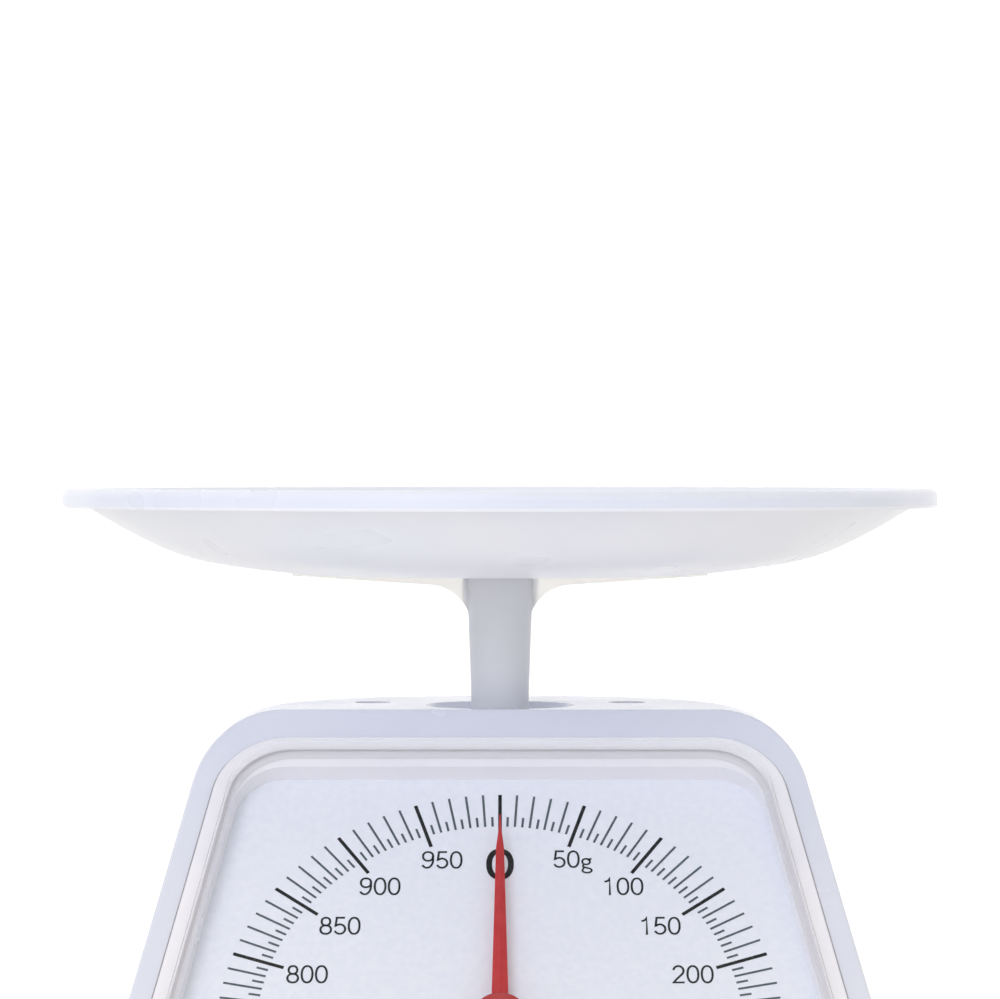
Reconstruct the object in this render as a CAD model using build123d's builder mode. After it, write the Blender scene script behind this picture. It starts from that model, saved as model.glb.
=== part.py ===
from build123d import *
import os
from math import asin, cos, pi, radians, sin, tan

# Analogue kitchen scale: dish pan on a T-shaped stem, wedge body, tilted dial, parallelogram inside.
# Millimetres. +X right as the reader of the dial sees it, +Y to the back, +Z up, table at Z = 0.
# The origin is under the middle of the scale's footprint.

os.makedirs("parts", exist_ok=True)

# Pan: radii, and depths below the rim
pan_r = 105.0
pan_t = 2.0
pan_depth = 20.6
pan_floor_r = 46.0
bowl_in_r = 58.8
bowl_in_depth = 19.4
bowl_mid_r = 75.7
bowl_mid_depth = 16.3
bowl_out_r = 89.3
bowl_out_depth = 10.2
bowl_top_depth = 4.3
floor_slope = 0.02
bowl_slope = 0.62
lip_w = 5.6
lip_t = 2.2
lip_drop = 4.6
lip_step = 1.8
lip_round = 2.0
lip_fall = 0.2
hem_w = 1.6
hem_edge = 0.4
dome_r = 15.0
dome_h = 4.4
dome_lean = 2.0
spigot_gap = 0.3
spigot_top_gap = 0.5

# Body
deck_h = 142.0
chin_h = 11.0
foot_h = 2.0
wall = 2.2
deck_front = 20.0
back_reach_low = 80.0
back_reach_high = 59.5
deck_half = 67.8
side_lean = 14.15
back_corner_low = 88.0
back_corner_high = 60.0
front_corner = 16.0
deck_round = 21.0
face_edge = 0.8
face_tilt = 39.5

# Dial frame, gaps measured in from the face's outline
dial_drop = 84.4
dial_depth = 6.0
dial_t = 1.0
flange_end_gap = 8.3
flange_side_gap = 5.2
rim_end_gap = 12.1
rim_side_gap = 9.3
window_end_gap = 16.0
window_side_gap = 10.9
flange_corner = 18.0
rim_corner = 15.0
window_corner = 12.0
collar_t = 1.5
seat_d = 0.8
seat_gap = 0.15
glue_t = 0.1
flange_t = 1.4
lens_proud = 5.5
lens_t = 1.6
lens_round = 1.4
flange_edge = 0.4
peg_r = 1.2
peg_gap = 0.1
peg_proud = 1.0
peg_side_up = -8.0
peg_low_x = 72.0
ear_r = 4.5
ear_top_x = 40.0
ear_low_x = 32.0
boss_step = 1.0
boss_skin = 0.3
arbor_hole_r = 3.0

# Deck details
recess_r = 18.0
recess_d = 4.0
recess_slope = 50.0
recess_round = 2.5
column_hole_r = 9.5
well_x = 31.0
well_back = 12.0
well_r = 4.5

# Stem and post
column_r_top = 8.0
column_r_deck = 6.9
seat_above = 31.7
stem_reach_in = 14.0
bore_end = 6.0
wing_reach = 50.0
wing_t = 2.2
wing_end = 0.5
wing_root = 3.3
wing_fillet = 10.5
wing_clear = 8.0
spigot_l = 15.6
spigot_w = 8.4
spigot_h = 4.2
post_r = 4.7
post_above = 9.4
post_gap = 0.2
post_pin_r = 3.2
post_foot_r = 7.0
post_foot_t = 2.0
post_collar_h = 4.0
post_edge = 0.8

# Floor, feet and fixings
base_gap = 0.3
base_post_r = 4.0
base_screw_front_in = 7.5
base_screw_back_in = 31.0
base_screw_side_in_front = 42.5
base_screw_side_in_back = 32.5
foot_r = 7.0
foot_sink = 0.8
foot_gap = 0.1
foot_edge = 0.5
foot_front_in = 24.0
foot_back_in = 28.0
foot_side_in_front = 28.5
foot_side_in_back = 56.5
standoff_r = 4.0
chassis_screw_x = 13.0
chassis_screw_y = 50.0
screw_r = 1.5
screw_head_r = 3.0
screw_head_h = 1.8
screw_gap = 0.2
screw_end_gap = 0.1
base_screw_l = 7.0
deck_screw_l = 8.0
frame_screw_l = 5.0
dial_screw_head_h = 1.4
dial_screw_end_gap = 0.5

# Parallelogram and carrier
arm_l = 35.0
arm_w = 8.0
lower_pivot_z = 25.0
pivot_under_top = 7.0
sheet_t = 1.5
side_gap = 0.5
run_gap = 0.05
open_gap = 0.1
pin_r = 1.5
pivot_r = 2.0
pin_proud = 0.3
rod_proud = 1.0
web_from = 0.25
web_to = 0.65
carrier_half = 16.5
carrier_deep = 8.0
carrier_under = 6.0
carrier_over = 7.0
brace_h = 20.0
nose_half = 3.5
nose_t = 1.2
nose_high = 8.0
nose_tip = 3.0
nose_round = 2.5
drive_up = 22.5
drive_behind = 16.4
drive_r = 1.0

# Chassis
chassis_z = 8.0
chassis_drop = 38.0
cheek_front_reach = 60.0
cheek_back_reach = 57.0
cheek_low_up = -40.0
cheek_seat_up = 16.0
cheek_edge = 1.2
cheek_window_in = 8.0
cheek_window_round = 8.0
top_flange_from = 3.0
top_flange_to = 54.0
top_flange_x = 37.0

# Dial movement, distances measured behind the dial and up its slope
needle_turn = 2 * pi
pinion_r = 1.6
pinion_teeth = 8
tooth_add = 0.3
tooth_ded = 0.5
pinion_tooth_root_w = 0.62
pinion_tooth_tip_w = 0.22
rack_tooth_root_w = 0.86
rack_tooth_tip_w = 0.32
tooth_sink = 0.2
rack_behind = 6.0
rack_t = 3.0
rack_edge_x = 6.4
rack_low = -9.0
rack_high = 34.0
first_tooth = -3
last_tooth = 10
fin_x = 3.4
fin_t = 2.0
fin_foot = 20.0
fin_half = 3.4
fin_end = 2.5
slot_spare = 0.6
front_plate_at = 3.0
plate_t = 1.5
plate_back = 12.0
plate_low = -14.0
plate_high = 8.5
plate_half = 34.0
front_half = 17.0
plate_corner = 2.0
plate_screw_x = 27.0
plate_screw_ups = (-8.5, 3.0)
plate_screw_l = 4.5
pillar_r = 2.0
pillar_x = 13.0
pillar_in = 3.0
bush_r = 2.5
bush_proud = 0.5
arbor_r = 0.75
arbor_proud = 0.3
guide_low = -9.5
guide_high = 6.0
guide_x = 3.6
guide_wall = 2.0

# Needle and its cap
needle_above = 3.5
needle_l = 55.8
needle_edge = 0.25
needle_hub_r = 5.0
needle_hub_drop = 0.4
needle_hub_t = 1.4
cap_r = 6.0
cap_t = 1.5
cap_gap = 0.1
cap_round = 1.0

# Zero adjuster and main spring
zero_back = 43.0
zero_wheel_over = 8.0
zero_wheel_t = 6.0
zero_proud = 2.2
slot_gap = 1.5
thread_r = 2.5
screw_under = 14.0
screw_edge = 0.6
notches = 44
notch_r = 0.9
hub_r = 6.0
bracket_front_reach = 30.0
bracket_half = 34.0
bracket_corner = 3.0
bracket_screw_x = 28.0
bracket_screw_back = 49.0
nut_under = 12.0
nut_h = 7.0
nut_w = 12.0
nut_gap = 0.3
hook_under_nut = 7.5
ear_gap = 2.0
ear_t = 2.0
ear_w = 7.0
ear_over = 1.5
coil_r = 5.0
wire_r = 0.6
coil_turns = 15
hook_play = 0.3
joint_swell = 1.15

# Worked out from the values above
toe_reach = deck_front + (deck_h - chin_h) * tan(radians(face_tilt))
column_y = (toe_reach - pan_r) / 2
face_dir = (0, -sin(radians(face_tilt)), -cos(radians(face_tilt)))
face_out = (0, -cos(radians(face_tilt)), sin(radians(face_tilt)))
face_top_y = column_y - deck_front
front_y = column_y - toe_reach
face_len = (toe_reach - deck_front) / sin(radians(face_tilt))
side_slope = tan(radians(side_lean))
face_flare = side_slope * cos(radians(face_tilt))
back_slope = (back_reach_low - back_reach_high) / (deck_h - foot_h)
corner_slope = (back_corner_low - back_corner_high) / (deck_h - foot_h)
dial_y = face_top_y + dial_drop * face_dir[1]
dial_z = deck_h + dial_drop * face_dir[2]
face_plane = Plane(origin=(0, dial_y, dial_z), x_dir=(1, 0, 0), z_dir=face_out)
dial_plane = face_plane.offset(-dial_depth)
pan_seat_z = deck_h + seat_above
rim_z = pan_seat_z + pan_depth
bowl_r = pan_r - lip_w
chassis_top = deck_h - chassis_drop
upper_pivot_z = chassis_top - pivot_under_top
zero_wheel_z = chassis_top + zero_wheel_over
carrier_travel = needle_turn * pinion_r * cos(radians(face_tilt))
arm_angle = asin(carrier_travel / (2 * arm_l))
pivot_y = column_y - arm_l * cos(arm_angle)
carrier_rise = arm_l * sin(arm_angle)
lower_pin_z = lower_pivot_z + carrier_rise
upper_pin_z = upper_pivot_z + carrier_rise
zero_y = column_y + zero_back
tail_l = (zero_y - pivot_y) / cos(arm_angle)
tail_z = lower_pivot_z + tail_l * sin(arm_angle)
base_t = wall
base_top = foot_h + base_t
link_inner = carrier_half + side_gap
link_outer = link_inner + sheet_t
chassis_inner = link_outer + side_gap
chassis_outer = chassis_inner + sheet_t
cheek_front = column_y - cheek_front_reach
cheek_back = column_y + cheek_back_reach
top_flange_front = column_y + top_flange_from
top_flange_back = column_y + top_flange_to
back_plate_at = plate_back - plate_t


def half_width(z):
    """Half the body's width at a height."""
    return deck_half + (deck_h - z) * side_slope


def back_y(z):
    """Y of the body's back wall at a height."""
    return column_y + back_reach_high + (deck_h - z) * back_slope


def back_corner(z):
    """Plan radius of the body's two back corners at a height."""
    return back_corner_high + (deck_h - z) * corner_slope


def dial_point(up, behind):
    """Y and Z of a point that lies up the slope from the dial's centre and behind the dial."""
    across = dial_plane.origin
    y = across.Y - up * face_dir[1] - behind * face_out[1]
    z = across.Z - up * face_dir[2] - behind * face_out[2]
    return y, z


def behind_dial(y, z):
    """Distance of a point behind the dial's plane."""
    return (dial_plane.origin.Y - y) * face_out[1] + (dial_plane.origin.Z - z) * face_out[2]


def body_block(inset, low):
    """Solid wedge of the body from the height low up to the deck, its walls moved in by inset."""
    lean = cos(radians(side_lean))
    front = front_y + inset
    with BuildPart() as block:
        for z in (low, deck_h - inset):
            with BuildSketch(Plane.XY.offset(z)):
                half = half_width(z) - inset / lean
                back = back_y(z) - inset
                with Locations((0, (back + front) / 2)):
                    Rectangle(2 * half, back - front)
                back_pair = vertices().group_by(Axis.Y)[-1]
                fillet(back_pair, back_corner(z) - inset)
                front_pair = vertices().group_by(Axis.Y)[0]
                fillet(front_pair, front_corner - inset)
        loft(ruled=True)
        split(bisect_by=face_plane.offset(-inset), keep=Keep.BOTTOM)
        deck = faces().sort_by(Axis.Z)[-1]
        fillet(deck.edges().sort_by(Axis.Y)[1:], deck_round - inset)
    return block.part


def face_outline(end_gap, sides_gap, corner, grow=0.0):
    """Trapezium inside the face's outline, in the face's own plane, with rounded corners."""
    top = dial_drop - end_gap + grow
    low = dial_drop - face_len + end_gap - grow
    top_half = deck_half + (dial_drop - top) * face_flare - sides_gap + grow
    low_half = deck_half + (dial_drop - low) * face_flare - sides_gap + grow
    with BuildSketch() as outline:
        with BuildLine():
            Polyline((-low_half, low), (low_half, low), (top_half, top), (-top_half, top), close=True)
        make_face()
        fillet(outline.vertices(), corner + grow)
    return outline.sketch


def screws(planes, length, head_h=screw_head_h):
    """Slotted pan-head screws, each with its head's seat on one plane and its shank below it."""
    with BuildPart() as group:
        for plane in planes:
            with BuildSketch(plane):
                Circle(screw_head_r)
            extrude(amount=head_h)
            with BuildSketch(plane):
                Circle(screw_r)
            extrude(amount=-length)
            with BuildSketch(plane.offset(head_h)):
                Rectangle(2 * screw_head_r, screw_r / 2)
                Rectangle(screw_r / 2, 2 * screw_head_r)
            extrude(amount=-head_h / 2, mode=Mode.SUBTRACT)
    return group.part


def level_planes(points, z, down=False):
    """Horizontal planes at some X, Y points, facing up, or down where asked."""
    facing = (0, 0, -1) if down else (0, 0, 1)
    return [Plane(origin=(x, y, z), x_dir=(1, 0, 0), z_dir=facing) for x, y in points]


flange_shape = face_outline(flange_end_gap, flange_side_gap, flange_corner)
flange_seat = face_outline(flange_end_gap, flange_side_gap, flange_corner, grow=seat_gap)
rim_shape = face_outline(rim_end_gap, rim_side_gap, rim_corner)
rim_inside = face_outline(rim_end_gap, rim_side_gap, rim_corner, grow=-lens_t)
window_shape = face_outline(window_end_gap, window_side_gap, window_corner)
collar_shape = face_outline(window_end_gap, window_side_gap, window_corner, grow=collar_t)
dial_shape = face_outline(window_end_gap, window_side_gap, window_corner, grow=collar_t + boss_step)

ear_in = window_end_gap - ear_r - collar_t
dial_ears = [(side * ear_top_x, dial_drop - ear_in) for side in (-1, 1)]
dial_ears += [(side * ear_low_x, dial_drop - face_len + ear_in) for side in (-1, 1)]
peg_mid = (flange_end_gap + rim_end_gap) / 2
peg_side_in = (flange_side_gap + rim_side_gap) / 2
peg_side_x = deck_half + (dial_drop - peg_side_up) * face_flare - peg_side_in
peg_points = [(side * peg_side_x, peg_side_up) for side in (-1, 1)]
peg_points += [(side * peg_low_x, dial_drop - face_len + peg_mid) for side in (-1, 1)]
floor_half = half_width(foot_h)
floor_back = back_y(foot_h)
screw_front_x = floor_half - base_screw_side_in_front
screw_back_x = floor_half - base_screw_side_in_back
base_screw_points = [(side * screw_front_x, front_y + base_screw_front_in) for side in (-1, 1)]
base_screw_points += [(side * screw_back_x, floor_back - base_screw_back_in) for side in (-1, 1)]
foot_front_x = floor_half - foot_side_in_front
foot_back_x = floor_half - foot_side_in_back
foot_points = [(side * foot_front_x, front_y + foot_front_in) for side in (-1, 1)]
foot_points += [(side * foot_back_x, floor_back - foot_back_in) for side in (-1, 1)]
chassis_screw_points = [
    (across * chassis_screw_x, column_y + along * chassis_screw_y) for across in (-1, 1) for along in (-1, 1)
]
well_points = [(side * well_x, column_y + well_back) for side in (-1, 1)]
bracket_screw_points = [(side * bracket_screw_x, column_y + bracket_screw_back) for side in (-1, 1)]
plate_screw_spots = [(side * plate_screw_x, up) for side in (-1, 1) for up in plate_screw_ups]
pillar_spots = [
    (side * pillar_x, up) for side in (-1, 1) for up in (plate_low + pillar_in, plate_high - pillar_in)
]
zero_wheel_r = back_y(zero_wheel_z) - zero_y + zero_proud
drive_y, drive_z = dial_point(drive_up, drive_behind)

# Housing: thin white shell with the deck, the tilted frame and the openings
with BuildPart() as base_posts:
    for x, y in base_screw_points:
        with Locations((x, y, base_top)):
            Cylinder(base_post_r, deck_h, align=(Align.CENTER, Align.CENTER, Align.MIN))
    add(body_block(wall / 2, foot_h), mode=Mode.INTERSECT)

recess_floor = deck_h - recess_d
recess_floor_r = recess_r - recess_d * tan(radians(recess_slope))
with BuildPart() as housing:
    add(body_block(0, foot_h))
    face = faces().sort_by(Axis(face_plane.origin, face_plane.z_dir))[-1]
    fillet(face.edges(), face_edge)
    add(body_block(wall, foot_h / 2), mode=Mode.SUBTRACT)
    add(base_posts.part)
    with BuildSketch(dial_plane):
        add(collar_shape)
    extrude(amount=dial_depth - wall)
    with BuildSketch(dial_plane):
        with Locations(*dial_ears):
            Circle(ear_r - boss_step)
    extrude(amount=dial_depth - wall)
    with BuildSketch(face_plane):
        add(window_shape)
    extrude(amount=-dial_depth, mode=Mode.SUBTRACT)
    with BuildSketch(face_plane):
        add(flange_seat)
    extrude(amount=-seat_d, mode=Mode.SUBTRACT)
    with BuildSketch(face_plane):
        with Locations(*peg_points):
            Circle(peg_r + peg_gap)
    extrude(amount=-wall, mode=Mode.SUBTRACT)
    with BuildSketch(dial_plane):
        with Locations(*dial_ears):
            Circle(screw_r)
    extrude(amount=dial_depth - wall - boss_skin, mode=Mode.SUBTRACT)
    with BuildSketch(Plane.XY.offset(deck_h - wall)):
        with Locations((0, column_y)):
            Circle(recess_r + wall)
    extrude(amount=-recess_d)
    with BuildSketch(Plane.XY.offset(deck_h)):
        with Locations((0, column_y)):
            Circle(recess_r)
    extrude(amount=-recess_d, taper=recess_slope, mode=Mode.SUBTRACT)
    rounds = edges().filter_by(GeomType.CIRCLE)
    at_floor = rounds.filter_by_position(Axis.Z, recess_floor - 0.1, recess_floor + 0.1)
    fillet([edge for edge in at_floor if abs(edge.radius - recess_floor_r) < 0.1], recess_round)
    with BuildSketch(Plane.XY.offset(deck_h)):
        with Locations((0, column_y)):
            Circle(column_hole_r)
    extrude(amount=-recess_d - 2 * wall, mode=Mode.SUBTRACT)
    with BuildSketch(Plane.XY.offset(chassis_top)):
        with Locations(*well_points):
            Circle(well_r + wall)
    extrude(amount=deck_h - wall - chassis_top)
    with BuildSketch(Plane.XY.offset(chassis_top + wall)):
        with Locations(*well_points):
            Circle(well_r)
    extrude(amount=deck_h - chassis_top, mode=Mode.SUBTRACT)
    with BuildSketch(Plane.XY.offset(chassis_top)):
        with Locations(*well_points):
            Circle(screw_r)
    extrude(amount=wall, mode=Mode.SUBTRACT)
    with BuildSketch(Plane.XY.offset(base_top)):
        with Locations(*base_screw_points):
            Circle(screw_r)
    extrude(amount=base_screw_l - base_t / 2 + screw_end_gap, mode=Mode.SUBTRACT)
    with BuildSketch(Plane.XY.offset(zero_wheel_z)):
        with Locations((0, zero_y)):
            Circle(zero_wheel_r + slot_gap)
    extrude(amount=zero_wheel_t / 2 + slot_gap, both=True, mode=Mode.SUBTRACT)
housing.part.label = "housing"
export_step(housing.part, "parts/housing.step")

# Base plate: floor of the body, inside the shell's lower edge
with BuildPart() as base_plate:
    add(body_block(wall + base_gap, foot_h))
    split(bisect_by=Plane.XY.offset(base_top), keep=Keep.BOTTOM)
    with BuildSketch(Plane.XY.offset(base_top)):
        with Locations(*chassis_screw_points):
            Circle(standoff_r)
    extrude(amount=chassis_z - base_top)
    with BuildSketch(Plane.XY.offset(base_top)):
        with Locations(*chassis_screw_points):
            Circle(screw_r)
    extrude(amount=chassis_z - base_top, mode=Mode.SUBTRACT)
    with BuildSketch(Plane.XY.offset(foot_h)):
        with Locations(*foot_points):
            Circle(foot_r + foot_gap)
    extrude(amount=foot_sink, mode=Mode.SUBTRACT)
    with BuildSketch(Plane.XY.offset(foot_h)):
        with Locations(*base_screw_points):
            Circle(screw_r + screw_gap)
    extrude(amount=base_t, mode=Mode.SUBTRACT)
    with BuildSketch(Plane.XY.offset(foot_h)):
        with Locations(*base_screw_points):
            Circle(screw_head_r + screw_gap)
    extrude(amount=base_t / 2, mode=Mode.SUBTRACT)
base_plate.part.label = "base_plate"
export_step(base_plate.part, "parts/base_plate.step")

# Feet: four rubber pads pressed into the base plate's pockets
with BuildPart() as feet:
    with BuildSketch():
        with Locations(*foot_points):
            Circle(foot_r)
    extrude(amount=foot_h + foot_sink)
    chamfer(feet.faces().sort_by(Axis.Z)[: len(foot_points)].edges(), foot_edge)
feet.part.label = "feet"
export_step(feet.part, "parts/feet.step")

# Base screws: up through the base plate into the shell's posts
base_screw_planes = level_planes(base_screw_points, foot_h + base_t / 2, down=True)
base_screws = screws(base_screw_planes, base_screw_l, base_t / 2 - screw_end_gap)
base_screws.label = "base_screws"
export_step(base_screws, "parts/base_screws.step")

# Deck screws: down the two wells, through their floors into the chassis
deck_screws = screws(level_planes(well_points, chassis_top + wall), deck_screw_l)
deck_screws.label = "deck_screws"
export_step(deck_screws, "parts/deck_screws.step")

# Lens cover: one clear moulding, a flange glued in its seat and a raised window
glue_plane = face_plane.offset(glue_t - seat_d)
with BuildPart() as lens_cover:
    with BuildSketch(glue_plane):
        add(flange_shape)
    extrude(amount=flange_t)
    flange = faces().sort_by(Axis(face_plane.origin, face_plane.z_dir))[-1]
    fillet(flange.edges(), flange_edge)
    with BuildSketch(glue_plane):
        add(rim_shape)
    extrude(amount=seat_d + lens_proud - glue_t)
    window = faces().sort_by(Axis(face_plane.origin, face_plane.z_dir))[-1]
    fillet(window.edges(), lens_round)
    with BuildSketch(glue_plane):
        add(rim_inside)
    extrude(amount=seat_d + lens_proud - lens_t - glue_t, mode=Mode.SUBTRACT)
    with BuildSketch(glue_plane):
        with Locations(*peg_points):
            Circle(peg_r)
    extrude(amount=seat_d - wall - peg_proud - glue_t)
lens_cover.part.label = "lens_cover"
export_step(lens_cover.part, "parts/lens_cover.step")

# Dial plate: behind the frame's collar, with four ears for its screws
with BuildPart() as dial_plate:
    with BuildSketch(dial_plane):
        add(dial_shape)
        with Locations(*dial_ears):
            Circle(ear_r)
        with Locations(*dial_ears):
            Circle(screw_r, mode=Mode.SUBTRACT)
        Circle(arbor_hole_r, mode=Mode.SUBTRACT)
    extrude(amount=-dial_t)
dial_plate.part.label = "dial_plate"
export_step(dial_plate.part, "parts/dial_plate.step")

# Dial screws: from behind through the ears into the shell's bosses
ear_planes = []
for x, up in dial_ears:
    y, z = dial_point(up, dial_t)
    ear_planes.append(Plane(origin=(x, y, z), x_dir=(1, 0, 0), z_dir=[-part for part in face_out]))
dial_screws = screws(ear_planes, dial_t + dial_depth - wall - dial_screw_end_gap, dial_screw_head_h)
dial_screws.label = "dial_screws"
export_step(dial_screws, "parts/dial_screws.step")

# Chassis: folded sheet frame on the base plate, two cheeks with flanges for the movement and the deck
cheek_behind = behind_dial(pivot_y, upper_pivot_z) - pivot_r - cheek_edge
cheek_top_up = (chassis_top - dial_plane.origin.Z + cheek_behind * face_out[2]) / -face_dir[2]
cheek_points = [
    (cheek_front, chassis_z),
    dial_point(cheek_low_up, plate_back),
    dial_point(cheek_seat_up, plate_back),
    dial_point(cheek_seat_up, cheek_behind),
    dial_point(cheek_top_up, cheek_behind),
    (cheek_back, chassis_top),
    (cheek_back, chassis_z),
]
window_y = (pivot_y + arm_w, cheek_back - cheek_window_in)
window_z = (lower_pivot_z + cheek_window_in, upper_pivot_z - cheek_window_in)
with BuildPart() as chassis:
    for side in (-1, 1):
        with BuildSketch(Plane.YZ.offset(side * chassis_inner)):
            with BuildLine():
                Polyline(*cheek_points, close=True)
            make_face()
        extrude(amount=side * sheet_t)
    with BuildSketch(Plane.YZ):
        with Locations((sum(window_y) / 2, sum(window_z) / 2)):
            RectangleRounded(window_y[1] - window_y[0], window_z[1] - window_z[0], cheek_window_round)
    extrude(amount=chassis_outer, both=True, mode=Mode.SUBTRACT)
    with BuildSketch(Plane.XY.offset(chassis_z)):
        with Locations((0, (cheek_front + cheek_back) / 2)):
            Rectangle(2 * chassis_outer, cheek_back - cheek_front)
    extrude(amount=sheet_t)
    with BuildSketch(Plane.XY.offset(chassis_top - sheet_t)):
        for side in (-1, 1):
            middle_x = side * (chassis_inner + top_flange_x) / 2
            with Locations((middle_x, (top_flange_front + top_flange_back) / 2)):
                Rectangle(top_flange_x - chassis_inner, top_flange_back - top_flange_front)
    extrude(amount=sheet_t)
    with BuildSketch(dial_plane.offset(-plate_back)):
        for side in (-1, 1):
            with Locations((side * (chassis_inner + plate_half) / 2, (plate_low + plate_high) / 2)):
                Rectangle(plate_half - chassis_inner, plate_high - plate_low)
    extrude(amount=-sheet_t)
    with BuildSketch(dial_plane.offset(-plate_back)):
        with Locations(*plate_screw_spots):
            Circle(screw_r)
    extrude(amount=-sheet_t, mode=Mode.SUBTRACT)
    with BuildSketch(Plane.XY.offset(chassis_z)):
        with Locations(*chassis_screw_points):
            Circle(screw_r)
    extrude(amount=sheet_t, mode=Mode.SUBTRACT)
    with BuildSketch(Plane.XY.offset(chassis_top)):
        with Locations(*well_points, *bracket_screw_points):
            Circle(screw_r)
    extrude(amount=-sheet_t, mode=Mode.SUBTRACT)
    with BuildSketch(Plane.YZ):
        with Locations((pivot_y, lower_pivot_z), (pivot_y, upper_pivot_z)):
            Circle(pivot_r)
    extrude(amount=chassis_outer, both=True, mode=Mode.SUBTRACT)
chassis.part.label = "chassis"
export_step(chassis.part, "parts/chassis.step")

# Chassis screws: down into the floor's standoffs
chassis_screws = screws(level_planes(chassis_screw_points, chassis_z + sheet_t), frame_screw_l)
chassis_screws.label = "chassis_screws"
export_step(chassis_screws, "parts/chassis_screws.step")


def cross_rod(y, z, r, half):
    """Round rod along X, with chamfered ends."""
    with BuildPart() as rod:
        with BuildSketch(Plane.YZ):
            with Locations((y, z)):
                Circle(r)
        extrude(amount=half, both=True)
        chamfer(rod.faces().filter_by(Axis.X).edges(), r / 5)
    return rod.part


# Fixed pivots of the two arms
lower_pivot_rod = cross_rod(pivot_y, lower_pivot_z, pivot_r, chassis_outer + rod_proud)
lower_pivot_rod.label = "lower_pivot_rod"
export_step(lower_pivot_rod, "parts/lower_pivot_rod.step")
upper_pivot_rod = cross_rod(pivot_y, upper_pivot_z, pivot_r, chassis_outer + rod_proud)
upper_pivot_rod.label = "upper_pivot_rod"
export_step(upper_pivot_rod, "parts/upper_pivot_rod.step")


def link(pivot_z, reach, carrier_hole_r):
    """Pair of sheet arms with a web between them, hinged at the pivot and at the carrier's pin."""
    along = (0, cos(arm_angle), sin(arm_angle))
    arm_plane = Plane(origin=(0, pivot_y, pivot_z), x_dir=along, z_dir=(1, 0, 0))
    with BuildPart() as pair:
        for side in (-1, 1):
            with BuildSketch(arm_plane.offset(side * link_inner)):
                with Locations((reach / 2, 0)):
                    SlotCenterToCenter(reach, arm_w)
            extrude(amount=side * sheet_t)
        with BuildSketch(arm_plane):
            with Locations((arm_l * (web_from + web_to) / 2, -arm_w / 2 + sheet_t / 2)):
                Rectangle(arm_l * (web_to - web_from), sheet_t)
        extrude(amount=link_inner, both=True)
        with BuildSketch(arm_plane):
            Circle(pivot_r + run_gap)
            with Locations((arm_l, 0)):
                Circle(carrier_hole_r)
            if reach > arm_l:
                with Locations((reach, 0)):
                    Circle(pin_r)
        extrude(amount=link_outer, both=True, mode=Mode.SUBTRACT)
    return pair.part


# Lower link: its tail runs on past the carrier to the spring
lower_link = link(lower_pivot_z, tail_l, pin_r + run_gap)
lower_link.label = "lower_link"
export_step(lower_link, "parts/lower_link.step")

# Upper link: its joint with the carrier is the one with extra play
upper_link = link(upper_pivot_z, arm_l, pin_r + open_gap)
upper_link.label = "upper_link"
export_step(upper_link, "parts/upper_link.step")

# Spring pin: across the lower link's tail
spring_pin = cross_rod(zero_y, tail_z, pin_r, link_outer)
spring_pin.label = "spring_pin"
export_step(spring_pin, "parts/spring_pin.step")

# Carrier: upright channel between the arms, with the post on top and a nose that drives the rack
carrier_low = lower_pin_z - carrier_under
carrier_top = upper_pin_z + carrier_over
carrier_face = column_y - carrier_deep + sheet_t
nose_x = fin_x + fin_t / 2
with BuildPart() as carrier:
    with BuildSketch(Plane.XY.offset(carrier_low)):
        with Locations((0, column_y)):
            Rectangle(2 * carrier_half, 2 * carrier_deep)
        with Locations((0, column_y - sheet_t)):
            Rectangle(2 * (carrier_half - sheet_t), 2 * carrier_deep, mode=Mode.SUBTRACT)
    extrude(amount=carrier_top - carrier_low)
    with BuildSketch(Plane.XY.offset(carrier_top)):
        with Locations((0, column_y)):
            Rectangle(2 * carrier_half, 2 * carrier_deep)
    extrude(amount=-sheet_t)
    with BuildSketch(Plane.XZ.offset(carrier_deep - column_y)):
        with Locations((0, drive_z)):
            Rectangle(2 * carrier_half, brace_h)
    extrude(amount=-sheet_t)
    for side in (-1, 1):
        with BuildSketch(Plane.YZ.offset(nose_x + side * nose_half / 2)):
            with BuildLine():
                Polyline(
                    (carrier_face, drive_z + nose_high),
                    (carrier_face, drive_z - nose_high),
                    (drive_y - nose_tip, drive_z - nose_tip),
                    (drive_y - nose_tip, drive_z + nose_tip),
                    close=True,
                )
            make_face()
            fillet(vertices().group_by(Axis.X)[0], nose_round)
        extrude(amount=side * nose_t)
    with BuildSketch(Plane.YZ):
        with Locations((column_y, lower_pin_z), (column_y, upper_pin_z)):
            Circle(pin_r)
    extrude(amount=carrier_half, both=True, mode=Mode.SUBTRACT)
    with BuildSketch(Plane.YZ):
        with Locations((drive_y, drive_z)):
            Circle(drive_r)
    extrude(amount=carrier_half, both=True, mode=Mode.SUBTRACT)
    with BuildSketch(Plane.XY.offset(carrier_top)):
        with Locations((0, column_y)):
            Circle(post_pin_r)
    extrude(amount=-sheet_t, mode=Mode.SUBTRACT)
carrier.part.label = "carrier"
export_step(carrier.part, "parts/carrier.step")

# Pins between the carrier and the two links
lower_carrier_pin = cross_rod(column_y, lower_pin_z, pin_r, link_outer + pin_proud)
lower_carrier_pin.label = "lower_carrier_pin"
export_step(lower_carrier_pin, "parts/lower_carrier_pin.step")
upper_carrier_pin = cross_rod(column_y, upper_pin_z, pin_r, link_outer + pin_proud)
upper_carrier_pin.label = "upper_carrier_pin"
export_step(upper_carrier_pin, "parts/upper_carrier_pin.step")

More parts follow.
